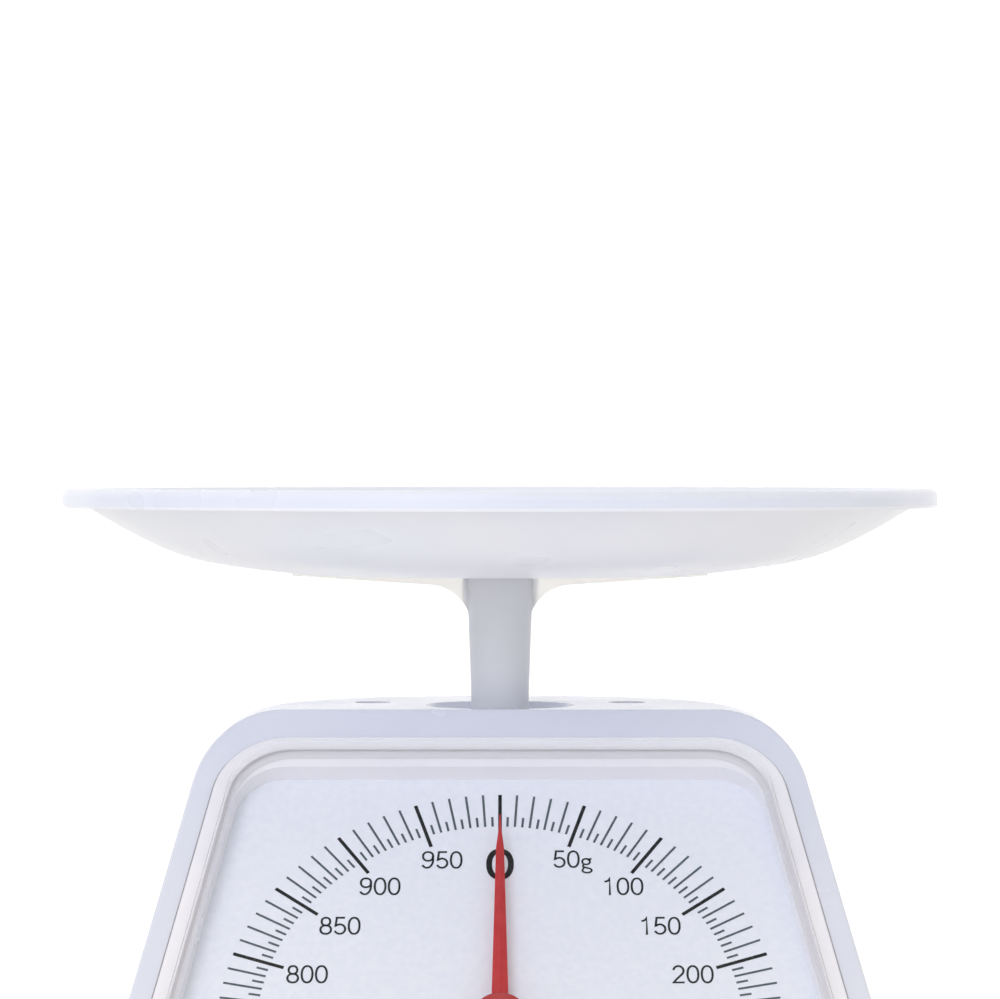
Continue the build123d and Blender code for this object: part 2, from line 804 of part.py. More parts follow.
# Drive pin: across the nose, in the rack's slot
with BuildPart() as drive_pin:
    with BuildSketch(Plane.YZ.offset(nose_x)):
        with Locations((drive_y, drive_z)):
            Circle(drive_r)
    extrude(amount=nose_half / 2 + nose_t, both=True)
drive_pin.part.label = "drive_pin"
export_step(drive_pin.part, "parts/drive_pin.step")

# Post: turned rod on the carrier that rises through the deck into the stem
post_seat_z = deck_h - stem_reach_in
column_slope = (column_r_top - column_r_deck) / seat_above
stem_foot_r = column_r_deck - column_slope * stem_reach_in
with BuildPart() as post:
    with BuildSketch(Plane.XY.offset(carrier_top)):
        with Locations((0, column_y)):
            Circle(post_foot_r)
    extrude(amount=post_foot_t)
    with BuildSketch(Plane.XY.offset(carrier_top - sheet_t)):
        with Locations((0, column_y)):
            Circle(post_pin_r)
    extrude(amount=sheet_t)
    with BuildSketch(Plane.XY.offset(carrier_top)):
        with Locations((0, column_y)):
            Circle(post_r)
    extrude(amount=deck_h + post_above - carrier_top)
    chamfer(post.faces().sort_by(Axis.Z)[-1].edges(), post_edge)
    with BuildSketch(Plane.XY.offset(post_seat_z)):
        with Locations((0, column_y)):
            Circle(stem_foot_r)
    extrude(amount=-post_collar_h)
post.part.label = "post"
export_step(post.part, "parts/post.step")

# Pan stem: hollow tapered column with two side wings and a spigot, one translucent moulding
wing_low = deck_h + wing_clear
with BuildPart() as pan_stem:
    with BuildSketch(Plane.XY.offset(post_seat_z)):
        with Locations((0, column_y)):
            Circle(stem_foot_r)
    with BuildSketch(Plane.XY.offset(pan_seat_z)):
        with Locations((0, column_y)):
            Circle(column_r_top)
    loft()
    with BuildSketch(Plane.XZ.offset(-column_y)):
        with BuildLine():
            Polyline(
                (wing_reach, pan_seat_z),
                (wing_reach, pan_seat_z - wing_end),
                (column_r_deck, pan_seat_z - wing_root),
                (column_r_deck, wing_low),
                (-column_r_deck, wing_low),
                (-column_r_deck, pan_seat_z - wing_root),
                (-wing_reach, pan_seat_z - wing_end),
                (-wing_reach, pan_seat_z),
                close=True,
            )
        make_face()
        near = [point for point in vertices() if abs(point.X) < wing_reach / 2]
        fillet([point for point in near if point.Y > wing_low + wing_t], wing_fillet)
    extrude(amount=wing_t / 2, both=True)
    with BuildSketch(Plane.XY.offset(pan_seat_z)):
        with Locations((0, column_y)):
            SlotOverall(spigot_l, spigot_w)
    extrude(amount=spigot_h)
    with BuildSketch(Plane.XY.offset(post_seat_z)):
        with Locations((0, column_y)):
            Circle(post_r + post_gap)
    extrude(amount=stem_reach_in + seat_above - bore_end, mode=Mode.SUBTRACT)
pan_stem.part.label = "pan_stem"
export_step(pan_stem.part, "parts/pan_stem.step")

# Pan: turned dish with a rolled lip and a low dome over the stem's spigot
under_points = [
    (pan_floor_r, pan_seat_z),
    (bowl_in_r, rim_z - bowl_in_depth),
    (bowl_mid_r, rim_z - bowl_mid_depth),
    (bowl_out_r, rim_z - bowl_out_depth),
    (bowl_r, rim_z - bowl_top_depth),
]
floor_top = pan_seat_z + pan_t
with BuildPart() as pan:
    with BuildSketch(Plane.XZ.offset(-column_y)):
        with BuildLine():
            under = Spline(*under_points, tangents=((1, floor_slope), (1, bowl_slope)))
            rise = Line(under @ 1, (bowl_r + lip_step, rim_z - lip_t))
            lip_under = Line(rise @ 1, (pan_r - hem_w, rim_z - lip_t))
            hem_in = Line(lip_under @ 1, (pan_r - hem_w, rim_z - lip_drop))
            hem_foot = Line(hem_in @ 1, (pan_r - hem_edge, rim_z - lip_drop))
            hem_out = Line(hem_foot @ 1, (pan_r, rim_z - lip_drop + 2 * hem_edge))
            side = Line(hem_out @ 1, (pan_r, rim_z - lip_round))
            roll = TangentArc(side @ 1, (pan_r - lip_round, rim_z), tangent=(0, 1))
            lip_top = Line(roll @ 1, (bowl_r, rim_z - lip_fall))
            drop = Line(lip_top @ 1, (bowl_r - lip_step, rim_z - bowl_top_depth + pan_t))
            wall_points = []
            for share in (0.75, 0.5, 0.25):
                along = under % share
                wall_points.append(under @ share + Vector(-along.Y, along.X) * pan_t)
            inside = Spline(
                drop @ 1,
                *wall_points,
                (pan_floor_r, floor_top),
                tangents=((-1, -bowl_slope), (-1, -floor_slope)),
            )
            floor_line = Line(inside @ 1, (dome_r, floor_top))
            dome_side = Line(floor_line @ 1, (dome_r - dome_lean, floor_top + dome_h))
            dome_line = Line(dome_side @ 1, (0, floor_top + dome_h))
            axis_line = Line(dome_line @ 1, (0, pan_seat_z))
            Line(axis_line @ 1, under @ 0)
        make_face()
    revolve(axis=Axis((0, column_y, 0), (0, 0, 1)))
    with BuildSketch(Plane.XY.offset(pan_seat_z)):
        with Locations((0, column_y)):
            SlotOverall(spigot_l + 2 * spigot_gap, spigot_w + 2 * spigot_gap)
    extrude(amount=spigot_h + spigot_top_gap, mode=Mode.SUBTRACT)
pan.part.label = "pan"
export_step(pan.part, "parts/pan.step")


def movement_plate(behind, half, hole_spots):
    """Flat plate behind the dial with the bearing's hole and some round holes."""
    with BuildPart() as plate:
        with BuildSketch(dial_plane.offset(-behind)):
            with Locations((0, (plate_low + plate_high) / 2)):
                RectangleRounded(2 * half, plate_high - plate_low, plate_corner)
            Circle(bush_r, mode=Mode.SUBTRACT)
            for spot, r in hole_spots:
                with Locations(spot):
                    Circle(r, mode=Mode.SUBTRACT)
        extrude(amount=-plate_t)
    return plate.part


# Movement: two plates held apart by pillars, with the needle's bearings
pillar_holes = [(spot, pillar_r / 2) for spot in pillar_spots]
movement_front_plate = movement_plate(front_plate_at, front_half, pillar_holes)
movement_front_plate.label = "movement_front_plate"
export_step(movement_front_plate, "parts/movement_front_plate.step")
screw_holes = [(spot, screw_r) for spot in plate_screw_spots]
movement_back_plate = movement_plate(back_plate_at, plate_half, pillar_holes + screw_holes)
movement_back_plate.label = "movement_back_plate"
export_step(movement_back_plate, "parts/movement_back_plate.step")

# Pillars, each with a thin end riveted into both plates
with BuildPart() as movement_pillars:
    with BuildSketch(dial_plane.offset(-front_plate_at - plate_t)):
        with Locations(*pillar_spots):
            Circle(pillar_r)
    extrude(amount=-(back_plate_at - front_plate_at - plate_t))
    with BuildSketch(dial_plane.offset(-front_plate_at)):
        with Locations(*pillar_spots):
            Circle(pillar_r / 2)
    extrude(amount=-(plate_back - front_plate_at))
movement_pillars.part.label = "movement_pillars"
export_step(movement_pillars.part, "parts/movement_pillars.step")

# Movement screws: through the back plate into the chassis
movement_planes = []
for x, up in plate_screw_spots:
    y, z = dial_point(up, back_plate_at)
    movement_planes.append(Plane(origin=(x, y, z), x_dir=(1, 0, 0), z_dir=face_out))
movement_screws = screws(movement_planes, plate_screw_l)
movement_screws.label = "movement_screws"
export_step(movement_screws, "parts/movement_screws.step")


def bush(behind, length):
    """Flanged bearing bush in a movement plate."""
    with BuildPart() as body:
        with BuildSketch(dial_plane.offset(-behind)):
            Circle(bush_r)
            Circle(arbor_r + run_gap, mode=Mode.SUBTRACT)
        extrude(amount=-length)
    return body.part


# Bushes: the arbor's two bearings
front_bush = bush(front_plate_at - bush_proud, plate_t + 2 * bush_proud)
front_bush.label = "front_bush"
export_step(front_bush, "parts/front_bush.step")
back_bush = bush(back_plate_at - bush_proud, plate_t + 2 * bush_proud)
back_bush.label = "back_bush"
export_step(back_bush, "parts/back_bush.step")

# Pinion and arbor: eight thin stub teeth
tooth_tip_r = pinion_r + tooth_add
tooth_root_r = pinion_r - tooth_ded
tooth_from = tooth_root_r - tooth_ded
arbor_top = needle_above - needle_hub_drop + needle_hub_t
with BuildPart() as pinion_arbor:
    with BuildSketch(dial_plane.offset(-rack_behind)):
        Circle(tooth_root_r)
        for i in range(pinion_teeth):
            with BuildLine(Plane.XY.rotated((0, 0, 360 * i / pinion_teeth))):
                Polyline(
                    (tooth_from, -pinion_tooth_root_w / 2),
                    (tooth_root_r, -pinion_tooth_root_w / 2),
                    (tooth_tip_r, -pinion_tooth_tip_w / 2),
                    (tooth_tip_r, pinion_tooth_tip_w / 2),
                    (tooth_root_r, pinion_tooth_root_w / 2),
                    (tooth_from, pinion_tooth_root_w / 2),
                    close=True,
                )
            make_face()
    extrude(amount=-rack_t)
    with BuildSketch(dial_plane.offset(arbor_top)):
        Circle(arbor_r)
    extrude(amount=-(arbor_top + plate_back + arbor_proud))
pinion_arbor.part.label = "pinion_arbor"
export_step(pinion_arbor.part, "parts/pinion_arbor.step")

# Needle: ridged pointer with a tail, on a round hub
# Its sections are given by their place up the dial, width and ridge height
needle_sections = [(-18, 5.0, 1.0), (0, 4.1, 1.1), (46.4, 1.86, 0.8), (51.7, 0.7, 0.5), (needle_l, 0.24, 0.3)]
with BuildPart() as needle:
    for up, width, ridge in needle_sections:
        across = Plane(
            origin=dial_plane.offset(needle_above).origin - Vector(face_dir) * up,
            x_dir=(1, 0, 0),
            z_dir=[-part for part in face_dir],
        )
        with BuildSketch(across):
            with BuildLine():
                Polyline(
                    (-width / 2, 0),
                    (width / 2, 0),
                    (width / 2, -needle_edge),
                    (0, -ridge),
                    (-width / 2, -needle_edge),
                    close=True,
                )
            make_face()
    loft(ruled=True)
    with BuildSketch(dial_plane.offset(needle_above - needle_hub_drop)):
        Circle(needle_hub_r)
    extrude(amount=needle_hub_t)
    with BuildSketch(dial_plane.offset(needle_above - needle_hub_drop)):
        Circle(arbor_r)
    extrude(amount=2 * needle_hub_t, mode=Mode.SUBTRACT)
needle.part.label = "needle"
export_step(needle.part, "parts/needle.step")

# Needle cap: round cover over the hub
with BuildPart() as needle_cap:
    with BuildSketch(dial_plane.offset(arbor_top + cap_gap)):
        Circle(cap_r)
    extrude(amount=cap_t)
    fillet(needle_cap.faces().sort_by(Axis(dial_plane.origin, dial_plane.z_dir))[-1].edges(), cap_round)
needle_cap.part.label = "needle_cap"
export_step(needle_cap.part, "parts/needle_cap.step")

# Rack: toothed slide with a fin at its top, whose level slot takes the drive pin
tooth_pitch = 2 * pi * pinion_r / pinion_teeth
rack_root_x = pinion_r + tooth_ded
rack_tip_x = pinion_r - tooth_add
rack_back = rack_behind + rack_t
slot_run = carrier_travel * tan(radians(face_tilt)) + 2 * slot_spare
with BuildPart() as rack:
    with BuildSketch(dial_plane.offset(-rack_behind)):
        with Locations(((rack_root_x + rack_edge_x) / 2, (rack_low + rack_high) / 2)):
            Rectangle(rack_edge_x - rack_root_x, rack_high - rack_low)
        for i in range(first_tooth, last_tooth + 1):
            middle = (i + 0.5) * tooth_pitch
            with BuildLine():
                Polyline(
                    (rack_root_x + tooth_sink, middle - rack_tooth_root_w / 2),
                    (rack_root_x, middle - rack_tooth_root_w / 2),
                    (rack_tip_x, middle - rack_tooth_tip_w / 2),
                    (rack_tip_x, middle + rack_tooth_tip_w / 2),
                    (rack_root_x, middle + rack_tooth_root_w / 2),
                    (rack_root_x + tooth_sink, middle + rack_tooth_root_w / 2),
                    close=True,
                )
            make_face()
    extrude(amount=-rack_t)
    with BuildSketch(Plane.YZ.offset(fin_x)):
        with BuildLine():
            Polyline(
                dial_point(fin_foot, rack_back - rack_t / 3),
                dial_point(rack_high, rack_back - rack_t / 3),
                dial_point(rack_high, rack_back),
                (drive_y + slot_run + fin_end, drive_z + fin_half),
                (drive_y + slot_run + fin_end, drive_z - fin_half),
                (drive_y - fin_half, drive_z - fin_half),
                close=True,
            )
        make_face()
        with Locations((drive_y + slot_run / 2 - slot_spare, drive_z)):
            SlotOverall(slot_run + 2 * drive_r, 2 * (drive_r + run_gap), mode=Mode.SUBTRACT)
    extrude(amount=fin_t)
rack.part.label = "rack"
export_step(rack.part, "parts/rack.step")

# Rack guide: channel between the plates that keeps the rack in mesh
guide_out_x = rack_edge_x + run_gap + guide_wall
with BuildPart() as rack_guide:
    with BuildSketch(dial_plane.offset(-front_plate_at - plate_t)):
        with Locations(((guide_x + guide_out_x) / 2, (guide_low + guide_high) / 2)):
            Rectangle(guide_out_x - guide_x, guide_high - guide_low)
    extrude(amount=-(back_plate_at - front_plate_at - plate_t))
    with BuildSketch(dial_plane.offset(-rack_behind + run_gap)):
        with Locations(((rack_edge_x + run_gap) / 2, (guide_low + guide_high) / 2)):
            Rectangle(rack_edge_x + run_gap, guide_high - guide_low)
    extrude(amount=-rack_t - 2 * run_gap, mode=Mode.SUBTRACT)
rack_guide.part.label = "rack_guide"
export_step(rack_guide.part, "parts/rack_guide.step")

# Zero bracket: bridge over the chassis that carries the zero wheel
bracket_front = column_y + bracket_front_reach
with BuildPart() as zero_bracket:
    with BuildSketch(Plane.XY.offset(chassis_top)):
        with Locations((0, (bracket_front + top_flange_back) / 2)):
            RectangleRounded(2 * bracket_half, top_flange_back - bracket_front, bracket_corner)
        with Locations((0, zero_y)):
            Circle(thread_r + run_gap, mode=Mode.SUBTRACT)
        with Locations(*bracket_screw_points):
            Circle(screw_r, mode=Mode.SUBTRACT)
    extrude(amount=sheet_t)
zero_bracket.part.label = "zero_bracket"
export_step(zero_bracket.part, "parts/zero_bracket.step")
bracket_screws = screws(level_planes(bracket_screw_points, chassis_top + sheet_t), frame_screw_l)
bracket_screws.label = "bracket_screws"
export_step(bracket_screws, "parts/bracket_screws.step")

# Zero wheel: notched thumbwheel whose rim shows in the back slot
with BuildPart() as zero_wheel:
    with BuildSketch(Plane.XY.offset(zero_wheel_z - zero_wheel_t / 2)):
        with Locations((0, zero_y)):
            Circle(zero_wheel_r)
        with Locations((0, zero_y)):
            with PolarLocations(zero_wheel_r, notches):
                Circle(notch_r, mode=Mode.SUBTRACT)
    extrude(amount=zero_wheel_t)
    with BuildSketch(Plane.XY.offset(chassis_top + sheet_t)):
        with Locations((0, zero_y)):
            Circle(hub_r)
    extrude(amount=zero_wheel_z - chassis_top - sheet_t)
    with BuildSketch(Plane.XY.offset(chassis_top + sheet_t)):
        with Locations((0, zero_y)):
            Circle(thread_r)
    extrude(amount=zero_wheel_over + zero_wheel_t, mode=Mode.SUBTRACT)
zero_wheel.part.label = "zero_wheel"
export_step(zero_wheel.part, "parts/zero_wheel.step")

# Zero screw: fixed in the wheel's hub, down through the bracket into the nut
screw_low = chassis_top - screw_under
with BuildPart() as zero_screw:
    with BuildSketch(Plane.XY.offset(screw_low)):
        with Locations((0, zero_y)):
            Circle(thread_r)
    extrude(amount=zero_wheel_z + zero_wheel_t / 2 - screw_low)
    chamfer(zero_screw.faces().filter_by(Axis.Z).edges(), screw_edge)
zero_screw.part.label = "zero_screw"
export_step(zero_screw.part, "parts/zero_screw.step")

# Spring nut: bar that rides on the screw between the cheeks, with a pin for the spring
nut_low = chassis_top - nut_under
hook_z = nut_low - hook_under_nut
ear_low = hook_z - drive_r - ear_over
with BuildPart() as spring_nut:
    with BuildSketch(Plane.XY.offset(nut_low)):
        with Locations((0, zero_y)):
            Rectangle(2 * (chassis_inner - nut_gap), nut_w)
            Circle(thread_r + run_gap, mode=Mode.SUBTRACT)
    extrude(amount=nut_h)
    for side in (-1, 1):
        with BuildSketch(Plane.YZ.offset(side * (thread_r + ear_gap))):
            with Locations((zero_y, (ear_low + nut_low + ear_t) / 2)):
                Rectangle(ear_w, nut_low + ear_t - ear_low)
        extrude(amount=side * ear_t)
    with BuildSketch(Plane.YZ):
        with Locations((zero_y, hook_z)):
            Circle(drive_r)
    extrude(amount=thread_r + ear_gap, both=True)
spring_nut.part.label = "spring_nut"
export_step(spring_nut.part, "parts/spring_nut.step")

# Main spring: stretched by the load, hooked on the nut above and on the lower link's tail below
hook_inside = coil_r - wire_r - hook_play
coil_top = hook_z - hook_inside + drive_r
coil_low = tail_z + hook_inside - pin_r
coil_len = coil_top - coil_low
with BuildPart() as coil:
    with BuildLine():
        Helix(pitch=coil_len / coil_turns, height=coil_len, radius=coil_r)
    with BuildSketch(Plane(origin=(coil_r, 0, 0), x_dir=(1, 0, 0), z_dir=(0, 1, 0))):
        Circle(wire_r)
    sweep(is_frenet=True)
with BuildPart() as main_spring:
    with Locations(Location((0, zero_y, coil_low), (0, 0, 90))):
        add(coil.part)
    for z, turn in ((coil_low, -180), (coil_top, 180)):
        with Locations((0, zero_y + coil_r, z)):
            Sphere(wire_r * joint_swell)
        with BuildSketch(Plane.XY.offset(z)):
            with Locations((0, zero_y + coil_r)):
                Circle(wire_r)
        revolve(axis=Axis((0, zero_y, z), (1, 0, 0)), revolution_arc=turn)
main_spring.part.label = "main_spring"
export_step(main_spring.part, "parts/main_spring.step")
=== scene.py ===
"""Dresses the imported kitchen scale: a finish for every piece, the printed dial, the camera and the light."""

from math import atan, cos, pi, radians, sin, sqrt

import bmesh
import bpy
from mathutils import Matrix, Vector


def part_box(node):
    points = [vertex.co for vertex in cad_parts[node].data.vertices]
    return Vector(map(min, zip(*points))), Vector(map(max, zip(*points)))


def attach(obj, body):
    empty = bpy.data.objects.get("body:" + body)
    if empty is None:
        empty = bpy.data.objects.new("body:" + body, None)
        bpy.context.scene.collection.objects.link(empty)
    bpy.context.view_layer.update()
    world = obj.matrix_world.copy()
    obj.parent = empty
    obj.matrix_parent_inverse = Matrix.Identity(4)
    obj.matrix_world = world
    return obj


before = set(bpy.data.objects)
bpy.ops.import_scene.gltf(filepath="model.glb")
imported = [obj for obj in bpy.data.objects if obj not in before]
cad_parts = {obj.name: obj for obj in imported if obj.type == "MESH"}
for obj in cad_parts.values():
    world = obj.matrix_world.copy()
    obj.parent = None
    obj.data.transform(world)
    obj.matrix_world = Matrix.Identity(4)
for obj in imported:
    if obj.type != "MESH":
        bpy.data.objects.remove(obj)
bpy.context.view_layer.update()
scene = bpy.context.scene

MM = 0.001  # the scene works in metres, and the sizes below are in millimetres

# Photograph: how it was taken, worked out from where the pan, the column and the deck lie in it
PHOTO_WIDTH = 1000  # pixels
SENSOR = 36.0
FOCAL_LENGTH = 154.8
EYE_DISTANCE = 1037.0  # from the eye to the column's axis
EYE_HEIGHT = 199.4  # above the floor, which is 5 mm above the pan's rim
HORIZON_DROP = 32.5  # pixels from the picture's middle up to the eye's level

# Dial: its slope and where its print lies
DIAL_TILT = radians(39.5)  # back from upright
OUTWARD = Vector((0, -cos(DIAL_TILT), sin(DIAL_TILT)))
UP_SLOPE = Vector((0, sin(DIAL_TILT), cos(DIAL_TILT)))
PRINT_LIFT = 0.05  # the ink lies this far above the plate, so that the two never share a plane
FULL_TURN = 1000  # grams in one turn of the needle
LABEL_STEP = 50  # grams from one numeral to the next
TICK_OUTER = 64.0
TEN_INNER = 55.0
FIVE_OUTER = 57.7
FIFTY_INNER = 51.8
TEN_WIDTH = 0.54
FIVE_WIDTH = 0.54
FIFTY_WIDTH = 0.84
NUMERAL_HEIGHT = 4.9
NUMERAL_STROKE = 0.50
NUMERAL_ADVANCE = 3.25
FIGURE_WIDTH = 0.61  # of a figure's height
UNIT_ADVANCE = 1.52  # from the first numeral's middle to the unit's, in advances
UNIT_STROKE = 0.45
LABEL_CLEAR = 50.7  # the numerals' ovals touch a circle of this radius from inside
ZERO_HEIGHT = 8.7
ZERO_WIDTH = 6.4
ZERO_STROKE = 1.35
ZERO_UP = 44.4
# The printer set some numerals a little to one side: millimetres to the right
LABEL_NUDGE = {50: 0.5, 100: 0.6, 150: -1.0, 850: 1.0, 900: 0.1, 950: 1.4}

# Pan: how far the painted shade on its lip reaches down from the rim
LIP_SHADE_REACH = 3.9

# Stem: from its axis to where the column ends and the wings begin
COLUMN_EDGE = 7.5
WING_START = 9.5

# Housing: the lens's seat lies below this height along the dial's axis, and the frame's face above it
SEAT_LEVEL = 96.5

# Lens: how opaque it looks, as a share of 1, and a height that parts its flange from its window
LENS_FACE = 0.015  # on its flat faces
LENS_EDGE = 0.45  # on its rounded edges, which carry the painted highlight
LENS_WALL = 0.03  # on its upright walls
LENS_FLANK = 0.8  # on the outside of the two side walls, which carry the painted dark reflection
LENS_FLANGE_PAINT = 0.85  # on the flange's flat, which is painted white as painted light
FLANGE_LEVEL = 98.5  # along the dial's axis

# Studio: strengths in the room's own units, lamps in watts, sizes and places in metres
ROOM_LEVEL = 0.74  # brightness of the room's light at the level of the horizon
ROOM_TOP = 0.86  # and overhead
SWEEP_GLOW = 0.5  # what the sweep adds behind the scale, where lamps of its own light it
GLOW_FROM = 0.25  # metres behind the scale where that begins
GLOW_FULL = 0.9  # and where it is at its full strength
KEY_POWER = 1.5
KEY_SIZE = (1.3, 0.9)
KEY_PLACE = (-0.35, -0.3, 1.5)
FRONT_POWER = 9.5
FRONT_SIZE = (1.0, 0.8)
FRONT_PLACE = (-0.6, -1.65, 0.75)


# Tools for shaders and meshes


def linear(colour):
    """An sRGB hex colour as the linear values that a shader works in."""
    parts = [int(colour[i : i + 2], 16) / 255 for i in (1, 3, 5)]
    return [c / 12.92 if c <= 0.04045 else ((c + 0.055) / 1.055) ** 2.4 for c in parts] + [1.0]


def per_mm(size):
    """A texture's scale, so that one of its features is this many millimetres across."""
    return 1 / (size * MM)


def add(tree, kind, inputs=None, **settings):
    """Adds a node, makes its settings, and gives each of its inputs a value or a link."""
    made = tree.nodes.new(kind)
    for name, value in settings.items():
        setattr(made, name, value)
    for socket, value in (inputs or {}).items():
        if isinstance(value, bpy.types.NodeSocket):
            tree.links.new(value, made.inputs[socket])
        else:
            made.inputs[socket].default_value = value
    return made


def blank(name, **sockets):
    """A material with one Principled shader: its node tree, its shader and its Object coordinates."""
    material = bpy.data.materials.new(name)
    material.use_nodes = True
    tree = material.node_tree
    shader = tree.nodes["Principled BSDF"]
    for socket, value in sockets.items():
        shader.inputs[socket.replace("_", " ")].default_value = value
    place = add(tree, "ShaderNodeTexCoord").outputs["Object"]
    return material, tree, shader, place


def wander(tree, place, size, low, high, detail):
    """A value that wanders between two others in soft patches of this size."""
    noise = add(tree, "ShaderNodeTexNoise", {"Vector": place, "Scale": per_mm(size), "Detail": detail})
    span = {0: noise.outputs["Fac"], 1: 0.25, 2: 0.75, 3: low, 4: high}
    return add(tree, "ShaderNodeMapRange", span, interpolation_type="SMOOTHSTEP").outputs["Result"]


def mottle(tree, place, size, shades, detail=3.0):
    """Two shades that drift into each other in soft patches of this size."""
    mix = add(tree, "ShaderNodeMix", {0: wander(tree, place, size, 0.0, 1.0, detail)}, data_type="RGBA")
    mix.inputs[6].default_value = linear(shades[0])
    mix.inputs[7].default_value = linear(shades[1])
    return mix.outputs[2]


def uneven_gloss(tree, place, size, low, high):
    """Roughness that wanders between two values in patches of this size."""
    return wander(tree, place, size, low, high, detail=2.0)


def relief(tree, place, size, depth, stretch=(1, 1, 1), detail=2.0):
    """Fine bumps of this size and depth, stretched along an axis where the tool drew them out."""
    drawn = add(tree, "ShaderNodeMapping", {"Vector": place, "Scale": stretch}).outputs["Vector"]
    noise = add(tree, "ShaderNodeTexNoise", {"Vector": drawn, "Scale": per_mm(size), "Detail": detail})
    bump = {"Height": noise.outputs["Fac"], "Distance": depth * MM, "Strength": 1.0}
    return add(tree, "ShaderNodeBump", bump).outputs["Normal"]


def let_light_in(shader, share, depth):
    """Lets this share of the light wander this many millimetres deep under the skin, whatever its colour."""
    shader.inputs["Subsurface Weight"].default_value = share
    shader.inputs["Subsurface Radius"].default_value = (1.0, 1.0, 1.0)
    shader.inputs["Subsurface Scale"].default_value = depth * MM


def along_dial(tree, place):
    """The surface's own direction, how squarely it faces the dial's way, and how far out it lies that way."""
    turned = add(tree, "ShaderNodeTexCoord").outputs["Normal"]
    square = add(tree, "ShaderNodeVectorMath", {0: turned, 1: OUTWARD}, operation="DOT_PRODUCT")
    level = add(tree, "ShaderNodeVectorMath", {0: place, 1: OUTWARD}, operation="DOT_PRODUCT")
    return turned, square.outputs["Value"], level.outputs["Value"]


def ribbon(mesh, points, width, closed=False):
    """Adds a flat stroke of this width along points on a plane, with mitred corners."""
    count = len(points)
    pairs = []
    for i, point in enumerate(points):
        before = points[i - 1] if closed or i > 0 else None
        after = points[(i + 1) % count] if closed or i < count - 1 else None
        arriving = (point - before).normalized() if before else (after - point).normalized()
        leaving = (after - point).normalized() if after else arriving
        along = (arriving + leaving).normalized()
        across = Vector((-along.y, along.x))
        reach = width / 2 / max(0.5, along.dot(leaving))
        ends = (point - across * reach, point + across * reach)
        pairs.append([mesh.verts.new((end.x, end.y, 0)) for end in ends])
    last = count if closed else count - 1
    for i in range(last):
        right, left = pairs[i]
        next_right, next_left = pairs[(i + 1) % count]
        mesh.faces.new((right, next_right, next_left, left))


def on_dial(mesh):
    """Moves what was drawn in millimetres on the flat to the dial's face, in metres."""
    mesh.transform(dial_place @ Matrix.Scale(MM, 4))


# Dial's place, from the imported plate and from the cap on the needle's axis
cap_low, cap_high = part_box("needle_cap")
plate_level = max(v.co.dot(OUTWARD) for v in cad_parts["dial_plate"].data.vertices)
cap_middle = (cap_low + cap_high) / 2
dial_centre = cap_middle + OUTWARD * (plate_level + PRINT_LIFT * MM - cap_middle.dot(OUTWARD))
dial_turn = Matrix(((1, 0, 0), UP_SLOPE, OUTWARD)).transposed().to_4x4()
dial_place = Matrix.Translation(dial_centre) @ dial_turn


# Finishes


def under_cover(tree, place):
    """1 on the lens's seat and on the walls that face the dial's middle, such as the window's, and else 0."""
    turned, square, level = along_dial(tree, place)
    sunk = add(tree, "ShaderNodeMath", {0: level, 1: SEAT_LEVEL * MM}, operation="LESS_THAN").outputs[0]
    flat = add(tree, "ShaderNodeMath", {0: square, 1: 0.95}, operation="GREATER_THAN").outputs[0]
    seat = add(tree, "ShaderNodeMath", {0: sunk, 1: flat}, operation="MULTIPLY").outputs[0]
    from_middle = add(tree, "ShaderNodeVectorMath", {0: place, 1: dial_centre}, operation="SUBTRACT")
    away = add(tree, "ShaderNodeVectorMath", {0: from_middle.outputs[0], 1: turned}, operation="DOT_PRODUCT")
    inner = add(tree, "ShaderNodeMath", {0: away.outputs["Value"], 1: 0.0}, operation="LESS_THAN").outputs[0]
    return add(tree, "ShaderNodeMath", {0: seat, 1: inner}, operation="MAXIMUM").outputs[0]


def moulded_abs():
    """White ABS, injection moulded in a lightly spark-eroded tool: an even white with a soft sheen."""
    material, tree, shader, place = blank("abs_white_moulded", IOR=1.54)
    # Painted light: the white under the clear cover and on walls facing the dial's middle is painted brighter
    skin = mottle(tree, place, 34, ("#dde0e9", "#e3e5ed"))
    glow = mottle(tree, place, 34, ("#faf8fc", "#fefdfe"))
    mix = add(tree, "ShaderNodeMix", {0: under_cover(tree, place), 6: skin, 7: glow}, data_type="RGBA")
    tree.links.new(mix.outputs[2], shader.inputs["Base Color"])
    tree.links.new(uneven_gloss(tree, place, 18, 0.2, 0.28), shader.inputs["Roughness"])
    # The real grain is about 0.1 mm and is drawn at 0.5 mm, so that it shows
    tree.links.new(relief(tree, place, 0.5, 0.006), shader.inputs["Normal"])
    return material


def milk_polypropylene():
    """Milk-white polypropylene from a polished tool: glossy, and light comes softly through the thin wall."""
    material, tree, shader, place = blank("polypropylene_milk_polished", IOR=1.49, Specular_IOR_Level=0.3)
    let_light_in(shader, 0.5, 1.6)
    # Painted shade: the rolled lip is painted a shade darker than the wall, where less light comes through it
    height = add(tree, "ShaderNodeSeparateXYZ", {0: place}).outputs[2]
    lip_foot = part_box("pan")[1].z - LIP_SHADE_REACH * MM
    lip = add(tree, "ShaderNodeMath", {0: height, 1: lip_foot}, operation="GREATER_THAN").outputs[0]
    wall = mottle(tree, place, 40, ("#f3f6ff", "#f7f9ff"))
    lip_shade = mottle(tree, place, 40, ("#e5e8f1", "#e9ecf4"))
    mix = add(tree, "ShaderNodeMix", {0: lip, 6: wall, 7: lip_shade}, data_type="RGBA")
    tree.links.new(mix.outputs[2], shader.inputs["Base Color"])
    tree.links.new(uneven_gloss(tree, place, 30, 0.26, 0.36), shader.inputs["Roughness"])
    # The cooling wall pulls in by hundredths of a millimetre, which bends the reflections a little
    tree.links.new(relief(tree, place, 9, 0.03, detail=1.0), shader.inputs["Normal"])
    return material


